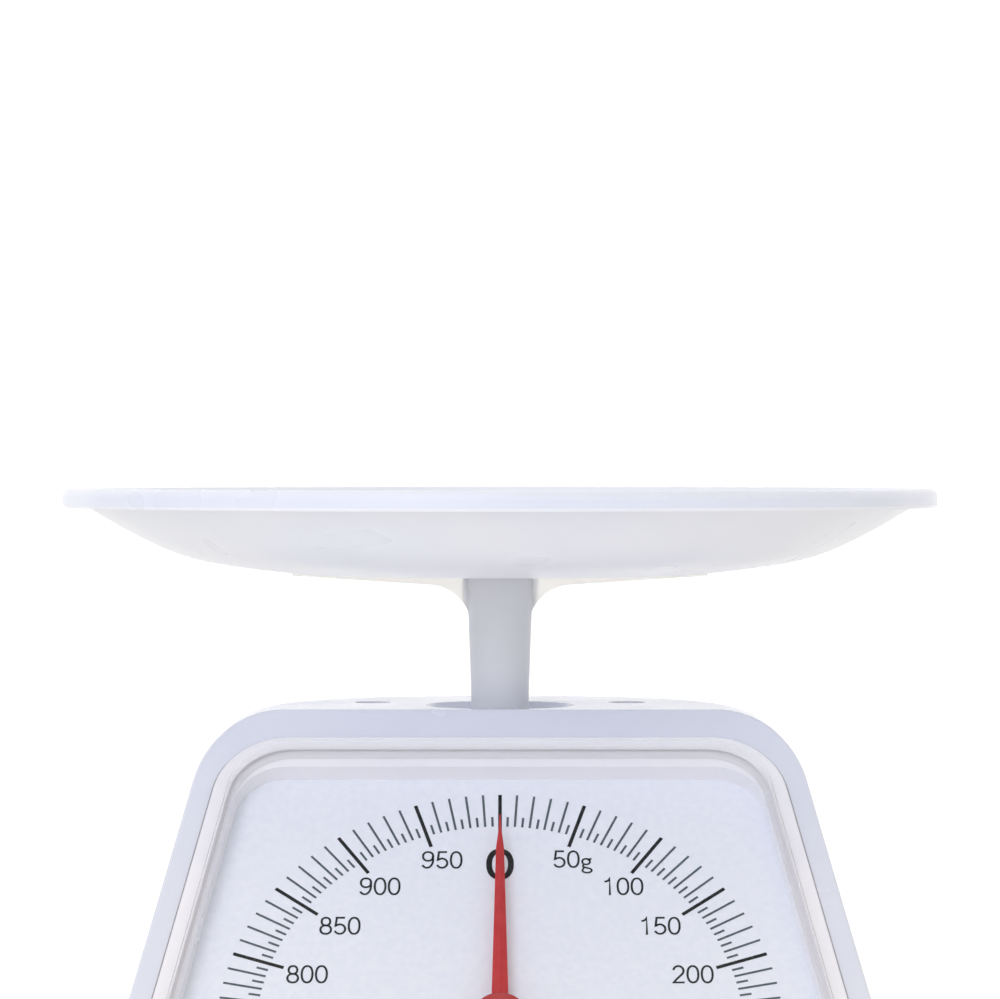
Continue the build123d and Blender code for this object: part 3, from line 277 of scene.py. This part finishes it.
def frosted_styrene():
    """Clear-tinted styrene with a satin skin: the inner post shows through it as a darker shade."""
    material, tree, shader, place = blank("styrene_frosted_moulded", IOR=1.2)
    let_light_in(shader, 0.8, 4)
    # Painted light: the column painted bluer, the thin wings a warmer white, for the light that falls on each
    across = add(tree, "ShaderNodeSeparateXYZ", {0: place}).outputs[0]
    off_axis = add(tree, "ShaderNodeMath", {0: across}, operation="ABSOLUTE").outputs[0]
    span = {0: off_axis, 1: COLUMN_EDGE * MM, 2: WING_START * MM}
    thin = add(tree, "ShaderNodeMapRange", span).outputs[0]
    blue = mottle(tree, place, 22, ("#f3f7ff", "#f7faff"))
    tint = add(tree, "ShaderNodeMix", {0: thin, 6: blue}, data_type="RGBA")
    tint.inputs[7].default_value = linear("#fffdf8")
    tree.links.new(tint.outputs[2], shader.inputs["Base Color"])
    through = add(tree, "ShaderNodeMapRange", {0: thin, 3: 0.1, 4: 0.7}).outputs[0]
    tree.links.new(through, shader.inputs["Transmission Weight"])
    tree.links.new(uneven_gloss(tree, place, 12, 0.28, 0.36), shader.inputs["Roughness"])
    tree.links.new(relief(tree, place, 0.6, 0.005), shader.inputs["Normal"])
    return material


def on_side_wall(tree, place, turned):
    """1 on the outside of the lens's two side walls, which face away from the middle, and 0 elsewhere."""
    sideways = add(tree, "ShaderNodeSeparateXYZ", {0: turned}).outputs[0]
    across = add(tree, "ShaderNodeSeparateXYZ", {0: place}).outputs[0]
    side = add(tree, "ShaderNodeMath", {0: across}, operation="SIGN").outputs[0]
    outwards = add(tree, "ShaderNodeMath", {0: sideways, 1: side}, operation="MULTIPLY").outputs[0]
    return add(tree, "ShaderNodeMapRange", {0: outwards, 1: 0.72, 2: 0.85}).outputs[0]


def on_glue(tree, facing, level):
    """1 on the flat of the lens's flange, which lies lower than its window, and 0 elsewhere."""
    low = add(tree, "ShaderNodeMath", {0: level, 1: FLANGE_LEVEL * MM}, operation="LESS_THAN").outputs[0]
    flat = add(tree, "ShaderNodeMath", {0: facing, 1: 0.98}, operation="GREATER_THAN").outputs[0]
    return add(tree, "ShaderNodeMath", {0: low, 1: flat}, operation="MULTIPLY").outputs[0]


def lens_opacity(tree, facing, flank, flange_paint):
    """How much of the lens is seen: the most opaque of its face, edges, walls, flanks and white-painted
    flange.
    """
    leaves_face = add(tree, "ShaderNodeMapRange", {0: facing, 1: 0.99, 2: 0.85}).outputs[0]
    leaves_wall = add(tree, "ShaderNodeMapRange", {0: facing, 1: 0.15, 2: 0.4}).outputs[0]
    rounded = add(tree, "ShaderNodeMath", {0: leaves_face, 1: leaves_wall}, operation="MULTIPLY").outputs[0]
    # Edges and flanks show only at a slant, so that light from straight on reaches what lies behind them
    slant = add(tree, "ShaderNodeLayerWeight", {"Blend": 0.5}).outputs["Facing"]
    grazed = add(tree, "ShaderNodeMapRange", {0: slant, 1: 0.3, 2: 0.6, 4: LENS_EDGE}).outputs[0]
    along = add(tree, "ShaderNodeMapRange", {0: slant, 1: 0.6, 2: 0.75, 4: LENS_FLANK}).outputs[0]
    gleam = add(tree, "ShaderNodeMath", {0: slant, 1: 5.0}, operation="POWER").outputs[0]
    shares = (
        add(tree, "ShaderNodeMath", {0: rounded, 1: grazed}, operation="MULTIPLY").outputs[0],
        add(tree, "ShaderNodeMapRange", {0: facing, 1: 0.4, 2: 0.1, 3: 0.0, 4: LENS_WALL}).outputs[0],
        add(tree, "ShaderNodeMath", {0: flank, 1: along}, operation="MULTIPLY").outputs[0],
        add(tree, "ShaderNodeMath", {0: flange_paint, 1: LENS_FLANGE_PAINT}, operation="MULTIPLY").outputs[0],
    )
    most = add(tree, "ShaderNodeMath", {0: gleam, 1: LENS_FACE}, operation="MAXIMUM").outputs[0]
    for share in shares:
        most = add(tree, "ShaderNodeMath", {0: most, 1: share}, operation="MAXIMUM").outputs[0]
    return most


def clear_styrene():
    """Clear polystyrene from a mirror-polished tool: nearly unseen face on, a painted highlight on its rounded
    edges, a painted dark teal reflection where the eye looks along the side walls, and painted light: its
    flange's flat drawn opaque white."""
    material, tree, shader, place = blank("styrene_clear_polished", IOR=1.59)
    turned, square, level = along_dial(tree, place)
    facing = add(tree, "ShaderNodeMath", {0: square}, operation="ABSOLUTE").outputs[0]
    flank = on_side_wall(tree, place, turned)
    flange_paint = on_glue(tree, facing, level)
    tree.links.new(lens_opacity(tree, facing, flank, flange_paint), shader.inputs["Alpha"])
    # Painted highlight: where the lens is not square to the dial's way, on its rounded edges and walls, it is
    # drawn white
    painted_highlight_mask = add(tree, "ShaderNodeMapRange", {0: facing, 1: 0.995, 2: 0.96}).outputs[0]
    # Painted light: the flange's flat is drawn white as well
    white = add(tree, "ShaderNodeMath", {0: painted_highlight_mask, 1: flange_paint}, operation="MAXIMUM").outputs[0]
    bright = mottle(tree, place, 60, ("#fbf8fb", "#ffffff"))
    body = add(tree, "ShaderNodeMix", {0: white, 7: bright}, data_type="RGBA")
    body.inputs[6].default_value = linear("#101214")
    # Painted dark reflection: the outside of the two side walls is drawn dark teal
    tint = add(tree, "ShaderNodeMix", {0: flank, 6: body.outputs[2]}, data_type="RGBA")
    tint.inputs[7].default_value = linear("#1c2f33")
    tree.links.new(tint.outputs[2], shader.inputs["Base Color"])
    tree.links.new(uneven_gloss(tree, place, 24, 0.02, 0.06), shader.inputs["Roughness"])
    return material


def grey_styrene():
    """Pale grey impact styrene for the floor of the body: plain, matt and slightly speckled."""
    material, tree, shader, place = blank("styrene_grey_moulded", IOR=1.55)
    tree.links.new(mottle(tree, place, 3.0, ("#cfd2d6", "#d7d9dc"), detail=6.0), shader.inputs["Base Color"])
    tree.links.new(uneven_gloss(tree, place, 20, 0.42, 0.55), shader.inputs["Roughness"])
    tree.links.new(relief(tree, place, 0.7, 0.012), shader.inputs["Normal"])
    return material


def teal_styrene():
    """Grey-teal styrene for the inner post: the darker shade in the foot of the column."""
    material, tree, shader, place = blank("styrene_teal_moulded", IOR=1.55)
    tree.links.new(mottle(tree, place, 12, ("#bcd6dd", "#c4dce2")), shader.inputs["Base Color"])
    tree.links.new(uneven_gloss(tree, place, 10, 0.35, 0.45), shader.inputs["Roughness"])
    tree.links.new(relief(tree, place, 0.6, 0.01), shader.inputs["Normal"])
    return material


def wheel_abs():
    """Light grey ABS for the zero wheel: handled, so its gloss is rubbed and its grip a little darker."""
    material, tree, shader, place = blank("abs_grey_handled", IOR=1.54)
    tree.links.new(mottle(tree, place, 5, ("#b6bac0", "#c6c9cd"), detail=5.0), shader.inputs["Base Color"])
    tree.links.new(uneven_gloss(tree, place, 6, 0.25, 0.5), shader.inputs["Roughness"])
    tree.links.new(relief(tree, place, 0.5, 0.01), shader.inputs["Normal"])
    return material


def natural_acetal():
    """Natural acetal for the rack's guide and the spring's nut: waxy ivory white, a little translucent."""
    material, tree, shader, place = blank("acetal_natural_machined", IOR=1.48)
    let_light_in(shader, 0.3, 1.5)
    tree.links.new(mottle(tree, place, 8, ("#efeee6", "#f4f3ee")), shader.inputs["Base Color"])
    tree.links.new(uneven_gloss(tree, place, 5, 0.3, 0.42), shader.inputs["Roughness"])
    # The cutter leaves lines a fifth of a millimetre apart, drawn at 0.4 mm
    tree.links.new(relief(tree, place, 0.4, 0.008, stretch=(1, 1, 0.1)), shader.inputs["Normal"])
    return material


def dial_card():
    """Coated white sheet, printed: matt, faintly blue, with the mottle of its coating."""
    material, tree, shader, place = blank("sheet_coated_matt", IOR=1.5, Roughness=0.6)
    tree.links.new(mottle(tree, place, 1.6, ("#eef2f9", "#f4f6fb"), detail=5.0), shader.inputs["Base Color"])
    tree.links.new(uneven_gloss(tree, place, 8, 0.5, 0.66), shader.inputs["Roughness"])
    tree.links.new(relief(tree, place, 0.4, 0.004), shader.inputs["Normal"])
    return material


def printing_ink(name, shades):
    """Screen-printed ink: flat and dry, a shade thinner here and there where the screen let less through."""
    material, tree, shader, place = blank(name, IOR=1.5)
    tree.links.new(mottle(tree, place, 1.2, shades, detail=4.0), shader.inputs["Base Color"])
    tree.links.new(uneven_gloss(tree, place, 4, 0.45, 0.6), shader.inputs["Roughness"])
    tree.links.new(relief(tree, place, 0.3, 0.004), shader.inputs["Normal"])
    return material


def red_styrene():
    """Red-pigmented styrene for the needle: satin, with a slightly chalky ridge that catches the light."""
    material, tree, shader, place = blank("styrene_red_moulded", IOR=1.55)
    tree.links.new(mottle(tree, place, 2.5, ("#bf2428", "#c82f31")), shader.inputs["Base Color"])
    tree.links.new(uneven_gloss(tree, place, 5, 0.3, 0.42), shader.inputs["Roughness"])
    tree.links.new(relief(tree, place, 0.4, 0.006), shader.inputs["Normal"])
    return material


def cap_styrene():
    """Dark red styrene for the needle's cap: glossier than the needle, turned smooth by the tool."""
    material, tree, shader, place = blank("styrene_red_polished", IOR=1.55)
    tree.links.new(mottle(tree, place, 4, ("#b33032", "#bc3838")), shader.inputs["Base Color"])
    tree.links.new(uneven_gloss(tree, place, 4, 0.14, 0.24), shader.inputs["Roughness"])
    tree.links.new(relief(tree, place, 1.5, 0.006), shader.inputs["Normal"])
    return material


def foot_rubber():
    """Moulded nitrile rubber: dark grey, matt, dusty in patches."""
    material, tree, shader, place = blank("rubber_nitrile_moulded", IOR=1.52)
    tree.links.new(mottle(tree, place, 4, ("#35373a", "#44474a"), detail=6.0), shader.inputs["Base Color"])
    tree.links.new(uneven_gloss(tree, place, 3, 0.65, 0.85), shader.inputs["Roughness"])
    tree.links.new(relief(tree, place, 0.5, 0.02, detail=4.0), shader.inputs["Normal"])
    return material


def zinc_sheet():
    """Zinc-plated steel strip, folded: grey with pale crystal patches and fine rolling lines along it."""
    material, tree, shader, place = blank("steel_sheet_zinc_plated", Metallic=1.0)
    # Zinc crystals are 2 to 5 mm across
    crystals = add(tree, "ShaderNodeTexVoronoi", {"Vector": place, "Scale": per_mm(3.5), "Randomness": 1.0})
    flake = add(tree, "ShaderNodeSeparateColor", {"Color": crystals.outputs["Color"]}).outputs["Red"]
    mix = add(tree, "ShaderNodeMix", {0: flake}, data_type="RGBA")
    mix.inputs[6].default_value = linear("#a9adb0")
    mix.inputs[7].default_value = linear("#c3c6c8")
    tree.links.new(mix.outputs[2], shader.inputs["Base Color"])
    gloss = add(tree, "ShaderNodeMapRange", {"Value": flake, "To Min": 0.28, "To Max": 0.42})
    tree.links.new(gloss.outputs["Result"], shader.inputs["Roughness"])
    tree.links.new(relief(tree, place, 0.35, 0.006, stretch=(1, 1, 0.05)), shader.inputs["Normal"])
    return material


def bright_bar():
    """Ground steel rod: bright, with hair-fine rings left by the wheel."""
    material, tree, shader, place = blank("steel_bar_ground", Metallic=1.0)
    tree.links.new(mottle(tree, place, 6, ("#b9bcbf", "#cccfd1")), shader.inputs["Base Color"])
    tree.links.new(uneven_gloss(tree, place, 3, 0.16, 0.26), shader.inputs["Roughness"])
    # Grinding rings are a hundredth of a millimetre apart, and are drawn at 0.2 mm across the rod's length
    tree.links.new(relief(tree, place, 0.2, 0.003, stretch=(1, 0.04, 0.04)), shader.inputs["Normal"])
    return material


def plated_screw():
    """Zinc-plated screw steel: bright blue-grey, worn duller where the driver sat."""
    material, tree, shader, place = blank("steel_screw_zinc_plated", Metallic=1.0)
    tree.links.new(mottle(tree, place, 1.2, ("#a8aeb4", "#c2c8cd"), detail=5.0), shader.inputs["Base Color"])
    tree.links.new(uneven_gloss(tree, place, 1.0, 0.2, 0.42), shader.inputs["Roughness"])
    tree.links.new(relief(tree, place, 0.3, 0.008), shader.inputs["Normal"])
    return material


def rolled_brass():
    """Rolled clock brass: warm yellow, brushed one way and a little brown where it was handled."""
    material, tree, shader, place = blank("brass_sheet_rolled", Metallic=1.0)
    tree.links.new(mottle(tree, place, 7, ("#b8924a", "#d0ad63"), detail=5.0), shader.inputs["Base Color"])
    tree.links.new(uneven_gloss(tree, place, 4, 0.22, 0.36), shader.inputs["Roughness"])
    tree.links.new(relief(tree, place, 0.25, 0.005, stretch=(0.05, 1, 1)), shader.inputs["Normal"])
    return material


def music_wire():
    """Drawn spring wire, oiled: darker than the sheet, with lines along the draw."""
    material, tree, shader, place = blank("steel_wire_drawn", Metallic=1.0)
    tree.links.new(mottle(tree, place, 2, ("#74787c", "#8f9396"), detail=4.0), shader.inputs["Base Color"])
    tree.links.new(uneven_gloss(tree, place, 2, 0.2, 0.34), shader.inputs["Roughness"])
    tree.links.new(relief(tree, place, 0.2, 0.004), shader.inputs["Normal"])
    return material


FINISHES = {
    "white_abs": moulded_abs(),
    "milk_plastic": milk_polypropylene(),
    "stem_plastic": frosted_styrene(),
    "base_plastic": grey_styrene(),
    "foot_rubber": foot_rubber(),
    "clear_lens": clear_styrene(),
    "dial_print": dial_card(),
    "needle_red": red_styrene(),
    "cap_plastic": cap_styrene(),
    "screw_steel": plated_screw(),
    "sheet_steel": zinc_sheet(),
    "rod_steel": bright_bar(),
    "post_plastic": teal_styrene(),
    "brass": rolled_brass(),
    "white_pom": natural_acetal(),
    "wheel_plastic": wheel_abs(),
    "spring_wire": music_wire(),
}
bold_ink = printing_ink("ink_black_printed", ("#07090b", "#0d1214"))
fine_ink = printing_ink("ink_slate_printed", ("#4c585e", "#59656b"))
numeral_ink = printing_ink("ink_numeral_printed", ("#12181b", "#1b2226"))


def dress_frame():
    """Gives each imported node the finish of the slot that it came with."""
    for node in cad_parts.values():
        for slot, old in enumerate(node.data.materials):
            node.data.materials[slot] = FINISHES[old.name.split(".")[0]]


# Printed dial


def tick_tree():
    """Geometry Nodes that set flat ticks round a circle and leave out each that a bolder tick replaces."""
    tree = bpy.data.node_groups.new("dial_ticks", "GeometryNodeTree")
    face = tree.interface
    for name in ("Inner Radius", "Outer Radius", "Width"):
        face.new_socket(name, in_out="INPUT", socket_type="NodeSocketFloat")
    for name in ("Places", "Skip Every"):
        face.new_socket(name, in_out="INPUT", socket_type="NodeSocketInt")
    face.new_socket("Ink", in_out="INPUT", socket_type="NodeSocketMaterial")
    face.new_socket("Geometry", in_out="OUTPUT", socket_type="NodeSocketGeometry")
    given = add(tree, "NodeGroupInput").outputs
    inner, outer = given["Inner Radius"], given["Outer Radius"]
    length = add(tree, "ShaderNodeMath", {0: outer, 1: inner}, operation="SUBTRACT").outputs[0]
    both = add(tree, "ShaderNodeMath", {0: outer, 1: inner}, operation="ADD").outputs[0]
    middle = add(tree, "ShaderNodeMath", {0: both, 1: 0.5}, operation="MULTIPLY").outputs[0]
    plain = {"Size X": given["Width"], "Size Y": length, "Vertices X": 2, "Vertices Y": 2}
    tick = add(tree, "GeometryNodeMeshGrid", plain).outputs["Mesh"]
    # One dot for each place, moved out to the middle of its tick
    dots = add(tree, "GeometryNodeMeshLine", {"Count": given["Places"]}, mode="OFFSET").outputs["Mesh"]
    index = add(tree, "GeometryNodeInputIndex").outputs[0]
    turn = add(tree, "ShaderNodeMath", {0: index, 1: given["Places"]}, operation="DIVIDE").outputs[0]
    angle = add(tree, "ShaderNodeMath", {0: turn, 1: 2 * pi}, operation="MULTIPLY").outputs[0]
    across = add(tree, "ShaderNodeMath", {0: angle}, operation="SINE").outputs[0]
    along = add(tree, "ShaderNodeMath", {0: angle}, operation="COSINE").outputs[0]
    unit = add(tree, "ShaderNodeCombineXYZ", {0: across, 1: along}).outputs[0]
    spot = add(tree, "ShaderNodeVectorMath", {0: unit, "Scale": middle}, operation="SCALE").outputs[0]
    placed = add(tree, "GeometryNodeSetPosition", {"Geometry": dots, "Position": spot}).outputs[0]
    # A dot stays where its number isn't a multiple of Skip Every, which is 0 for the boldest ticks
    skip = given["Skip Every"]
    past = add(tree, "ShaderNodeMath", {0: index, 1: skip}, operation="FLOORED_MODULO").outputs[0]
    between = add(tree, "ShaderNodeMath", {0: past, 1: 0.5}, operation="GREATER_THAN").outputs[0]
    boldest = add(tree, "ShaderNodeMath", {0: skip, 1: 0.5}, operation="LESS_THAN").outputs[0]
    kept = add(tree, "ShaderNodeMath", {0: between, 1: boldest}, operation="MAXIMUM").outputs[0]
    back = add(tree, "ShaderNodeMath", {0: angle, 1: -1.0}, operation="MULTIPLY").outputs[0]
    facing = add(tree, "ShaderNodeCombineXYZ", {2: back}).outputs[0]
    chosen = {"Points": placed, "Selection": kept, "Instance": tick, "Rotation": facing}
    ticks = add(tree, "GeometryNodeInstanceOnPoints", chosen).outputs[0]
    real = add(tree, "GeometryNodeRealizeInstances", {0: ticks}).outputs[0]
    inked = add(tree, "GeometryNodeSetMaterial", {"Geometry": real, "Material": given["Ink"]}).outputs[0]
    add(tree, "NodeGroupOutput", {0: inked})
    return tree


TICKS = tick_tree()


def print_ticks(name, ink, **sizes):
    """Prints one family of ticks round the dial and returns it as a plain mesh that rides on the body."""
    source = bpy.data.objects.new(name + "_source", bpy.data.meshes.new(name + "_source"))
    scene.collection.objects.link(source)
    modifier = source.modifiers.new("ticks", "NODES")
    modifier.node_group = TICKS
    given = {item.name: item.identifier for item in TICKS.interface.items_tree if item.in_out == "INPUT"}
    for socket, value in sizes.items():
        modifier[given[socket.replace("_", " ")]] = value
    modifier[given["Ink"]] = ink
    seen = source.evaluated_get(bpy.context.evaluated_depsgraph_get())
    mesh = bpy.data.meshes.new_from_object(seen)
    mesh.name = name
    bpy.data.objects.remove(source)
    return put_on_dial(name, mesh)


def put_on_dial(name, mesh, ink=None):
    """Makes a printed mesh a piece on the dial's face."""
    on_dial(mesh)
    if ink:
        mesh.materials.append(ink)
    piece = bpy.data.objects.new(name, mesh)
    scene.collection.objects.link(piece)
    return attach(piece, "root")


def arc(centre_x, centre_y, radius_x, radius_y, start, end, steps=14):
    """Points along part of an oval, with its angles in degrees from the right, anticlockwise."""
    turns = [radians(start + (end - start) * i / steps) for i in range(steps + 1)]
    return [Vector((centre_x + radius_x * cos(t), centre_y + radius_y * sin(t))) for t in turns]


def oval(centre_x, centre_y, radius_x, radius_y, steps=28):
    """A closed oval with slightly straightened sides, as in a grotesque figure nought."""
    fullness = 2.25
    points = []
    for i in range(steps):
        t = 2 * pi * i / steps
        x, y = cos(t), sin(t)
        swell = (abs(x) ** fullness + abs(y) ** fullness) ** (-1 / fullness)
        points.append(Vector((centre_x + radius_x * x * swell, centre_y + radius_y * y * swell)))
    return points


def run(*points):
    """A stroke through plain points."""
    return [Vector(point) for point in points]


def glyphs():
    """Each figure's strokes on a height of 1: (points, closed), in a plain upright grotesque."""
    six_bowl = (oval(0.31, 0.30, 0.24, 0.25), True)
    six_back = (arc(0.36, 0.48, 0.29, 0.47, 42, 205), False)
    corner = Vector((FIGURE_WIDTH, 1.0))
    half_turned = [([corner - p for p in points], closed) for points, closed in (six_bowl, six_back)]
    return {
        "0": [(oval(0.305, 0.5, 0.25, 0.45), True)],
        "1": [
            (
                run((0.10, 0.765), (0.20, 0.78), (0.27, 0.82), (0.32, 0.89), (0.345, 0.95), (0.345, 0.0)),
                False,
            ),
        ],
        "2": [
            (arc(0.30, 0.69, 0.235, 0.26, 172, -38) + run((0.20, 0.22), (0.07, 0.05), (0.57, 0.05)), False),
        ],
        "3": [
            (arc(0.29, 0.73, 0.21, 0.22, 165, -90), False),
            (arc(0.29, 0.28, 0.245, 0.23, 90, -168), False),
        ],
        "4": [(run((0.59, 0.27), (0.05, 0.27), (0.45, 0.94), (0.45, 0.0)), False)],
        "5": [
            (run((0.53, 0.95), (0.15, 0.95), (0.10, 0.50)) + arc(0.30, 0.315, 0.25, 0.265, 132, -158), False),
        ],
        "6": [six_bowl, six_back],
        "7": [(run((0.05, 0.95), (0.56, 0.95), (0.40, 0.68), (0.28, 0.35), (0.22, 0.0)), False)],
        "8": [(oval(0.305, 0.735, 0.20, 0.215), True), (oval(0.305, 0.285, 0.245, 0.235), True)],
        "9": half_turned,
        "g": [
            (oval(0.23, 0.36, 0.18, 0.16), True),
            (arc(0.47, 0.40, 0.13, 0.115, 175, 80, 6), False),
            (arc(0.16, 0.11, 0.08, 0.075, 110, 235, 8) + arc(0.27, -0.14, 0.22, 0.13, 70, -210, 20)
             + run((0.13, 0.035)), False),
        ],
    }


GLYPHS = glyphs()


def half_width(text):
    """Half the width of some figures set in a row."""
    return (NUMERAL_ADVANCE * (len(text) - 1) + FIGURE_WIDTH * NUMERAL_HEIGHT) / 2


def write(mesh, text, centre, stroke):
    """Draws upright figures, centred on a point of the dial."""
    start = centre - Vector((half_width(text), NUMERAL_HEIGHT / 2))
    for number, figure in enumerate(text):
        corner = start + Vector((NUMERAL_ADVANCE * number, 0))
        for points, closed in GLYPHS[figure]:
            ribbon(mesh, [corner + point * NUMERAL_HEIGHT for point in points], stroke, closed)


def label_centre(grams, text):
    """The middle of a numeral whose oval just touches the circle inside the ticks."""
    turn = 2 * pi * grams / FULL_TURN
    reach = sqrt((half_width(text) * sin(turn)) ** 2 + (NUMERAL_HEIGHT / 2 * cos(turn)) ** 2)
    radius = LABEL_CLEAR - reach
    return Vector((radius * sin(turn) + LABEL_NUDGE.get(grams, 0), radius * cos(turn)))


def print_numerals():
    """Prints the weight every 50 g, with the unit after the first."""
    mesh = bmesh.new()
    for grams in range(LABEL_STEP, FULL_TURN, LABEL_STEP):
        text = str(grams)
        centre = label_centre(grams, text)
        write(mesh, text, centre, NUMERAL_STROKE)
        if grams == LABEL_STEP:
            write(mesh, "g", centre + Vector((NUMERAL_ADVANCE * UNIT_ADVANCE, 0)), UNIT_STROKE)
    printed = bpy.data.meshes.new("dial_numerals")
    mesh.to_mesh(printed)
    mesh.free()
    return put_on_dial("dial_numerals", printed, numeral_ink)


def print_zero():
    """Prints the large bold nought at the top of the dial."""
    mesh = bmesh.new()
    line = oval(0, ZERO_UP, (ZERO_WIDTH - ZERO_STROKE) / 2, (ZERO_HEIGHT - ZERO_STROKE) / 2, 48)
    ribbon(mesh, line, ZERO_STROKE, True)
    printed = bpy.data.meshes.new("dial_nought")
    mesh.to_mesh(printed)
    mesh.free()
    return put_on_dial("dial_nought", printed, bold_ink)


def print_dial():
    """Prints the ticks every 5, 10 and 50 g, the numerals and the nought."""
    print_ticks("dial_fives", fine_ink, Inner_Radius=TEN_INNER, Outer_Radius=FIVE_OUTER,
                Width=FIVE_WIDTH, Places=FULL_TURN // 5, Skip_Every=2)
    print_ticks("dial_tens", fine_ink, Inner_Radius=TEN_INNER, Outer_Radius=TICK_OUTER,
                Width=TEN_WIDTH, Places=FULL_TURN // 10, Skip_Every=5)
    print_ticks("dial_fifties", bold_ink, Inner_Radius=FIFTY_INNER, Outer_Radius=TICK_OUTER,
                Width=FIFTY_WIDTH, Places=FULL_TURN // 50, Skip_Every=0)
    print_numerals()
    print_zero()


# Studio


def floor_and_backdrop():
    """A white sweep: a floor that curves up behind the scale, so that no line shows where they meet."""
    half_wide, top = 6.0, 5.0
    front, bend, back = -5.0, 3.2, 4.2
    radius = back - bend
    steps = 16
    side = [(front, 0.0), (0.0, 0.0), (bend, 0.0)]
    for step in range(1, steps + 1):
        turn = pi / 2 * step / steps
        side.append((bend + radius * sin(turn), radius - radius * cos(turn)))
    side.append((back, top))
    mesh = bmesh.new()
    rows = [[mesh.verts.new((x, y, z)) for x in (-half_wide, half_wide)] for y, z in side]
    for (left, right), (next_left, next_right) in zip(rows, rows[1:]):
        face = mesh.faces.new((left, right, next_right, next_left))
        face.smooth = True
    swept = bpy.data.meshes.new("studio_sweep")
    mesh.to_mesh(swept)
    mesh.free()
    material, tree, shader, place = blank("paper_white_studio", Roughness=0.9)
    tree.links.new(mottle(tree, place, 400, ("#ececec", "#efefef")), shader.inputs["Base Color"])
    behind = add(tree, "ShaderNodeSeparateXYZ", {0: place}).outputs[1]
    glow = {0: behind, 1: GLOW_FROM, 2: GLOW_FULL, 3: 0.0, 4: SWEEP_GLOW}
    tree.links.new(add(tree, "ShaderNodeMapRange", glow).outputs[0], shader.inputs["Emission Strength"])
    shader.inputs["Emission Color"].default_value = (1, 1, 1, 1)
    swept.materials.append(material)
    sweep = bpy.data.objects.new("studio_sweep", swept)
    scene.collection.objects.link(sweep)


def room_light():
    """Even light from all round: near white overhead and cooler towards the level."""
    world = bpy.data.worlds.new("soft_room")
    scene.world = world
    world.use_nodes = True
    tree = world.node_tree
    tree.nodes.clear()
    where = add(tree, "ShaderNodeTexCoord").outputs["Generated"]
    height = add(tree, "ShaderNodeSeparateXYZ", {0: where}).outputs[2]
    shade = add(tree, "ShaderNodeMapRange", {0: height, 1: -0.1, 2: 0.8}).outputs[0]
    level = add(tree, "ShaderNodeMapRange", {0: shade, 3: ROOM_LEVEL, 4: ROOM_TOP}).outputs[0]
    mix = add(tree, "ShaderNodeMix", {0: shade}, data_type="RGBA")
    mix.inputs[6].default_value = linear("#e4e9fb")
    mix.inputs[7].default_value = linear("#fffaf0")
    lit = add(tree, "ShaderNodeBackground", {"Color": mix.outputs[2], "Strength": level})
    add(tree, "ShaderNodeOutputWorld", {"Surface": lit.outputs[0]})


def lamp(name, place, aim, size, power, colour):
    """A rectangular soft box at place that faces a point."""
    light = bpy.data.lights.new(name, "AREA")
    light.shape = "RECTANGLE"
    light.size, light.size_y = size
    light.energy = power
    light.color = linear(colour)[:3]
    made = bpy.data.objects.new(name, light)
    made.location = place
    made.rotation_mode = "QUATERNION"
    made.rotation_quaternion = (Vector(aim) - Vector(place)).to_track_quat("-Z", "Y")
    scene.collection.objects.link(made)


def soft_boxes():
    """A soft box overhead, and a stronger one in front of the scale, behind the camera and to its left."""
    aim = (0, 0, 0.12)  # the scale's middle
    lamp("key_box", KEY_PLACE, aim, KEY_SIZE, KEY_POWER, "#fff4e0")
    lamp("front_box", FRONT_PLACE, aim, FRONT_SIZE, FRONT_POWER, "#e4eaff")


def camera():
    """The camera at the photograph's eye: level with the rim, far away and a little downwards."""
    data = bpy.data.cameras.new("photo_camera")
    data.sensor_width = SENSOR
    data.lens = FOCAL_LENGTH
    data.clip_end = 50  # metres, past the sweep's far edge
    made = bpy.data.objects.new("photo_camera", data)
    column = (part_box("pan_stem")[0].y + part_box("pan_stem")[1].y) / 2
    made.location = (0, column - EYE_DISTANCE * MM, EYE_HEIGHT * MM)
    pitch = atan(HORIZON_DROP / PHOTO_WIDTH * SENSOR / FOCAL_LENGTH)
    made.rotation_euler = (pi / 2 - pitch, 0, 0)
    scene.collection.objects.link(made)
    scene.camera = made


dress_frame()
print_dial()
floor_and_backdrop()
room_light()
soft_boxes()
camera()
scene.view_settings.view_transform = "Standard"
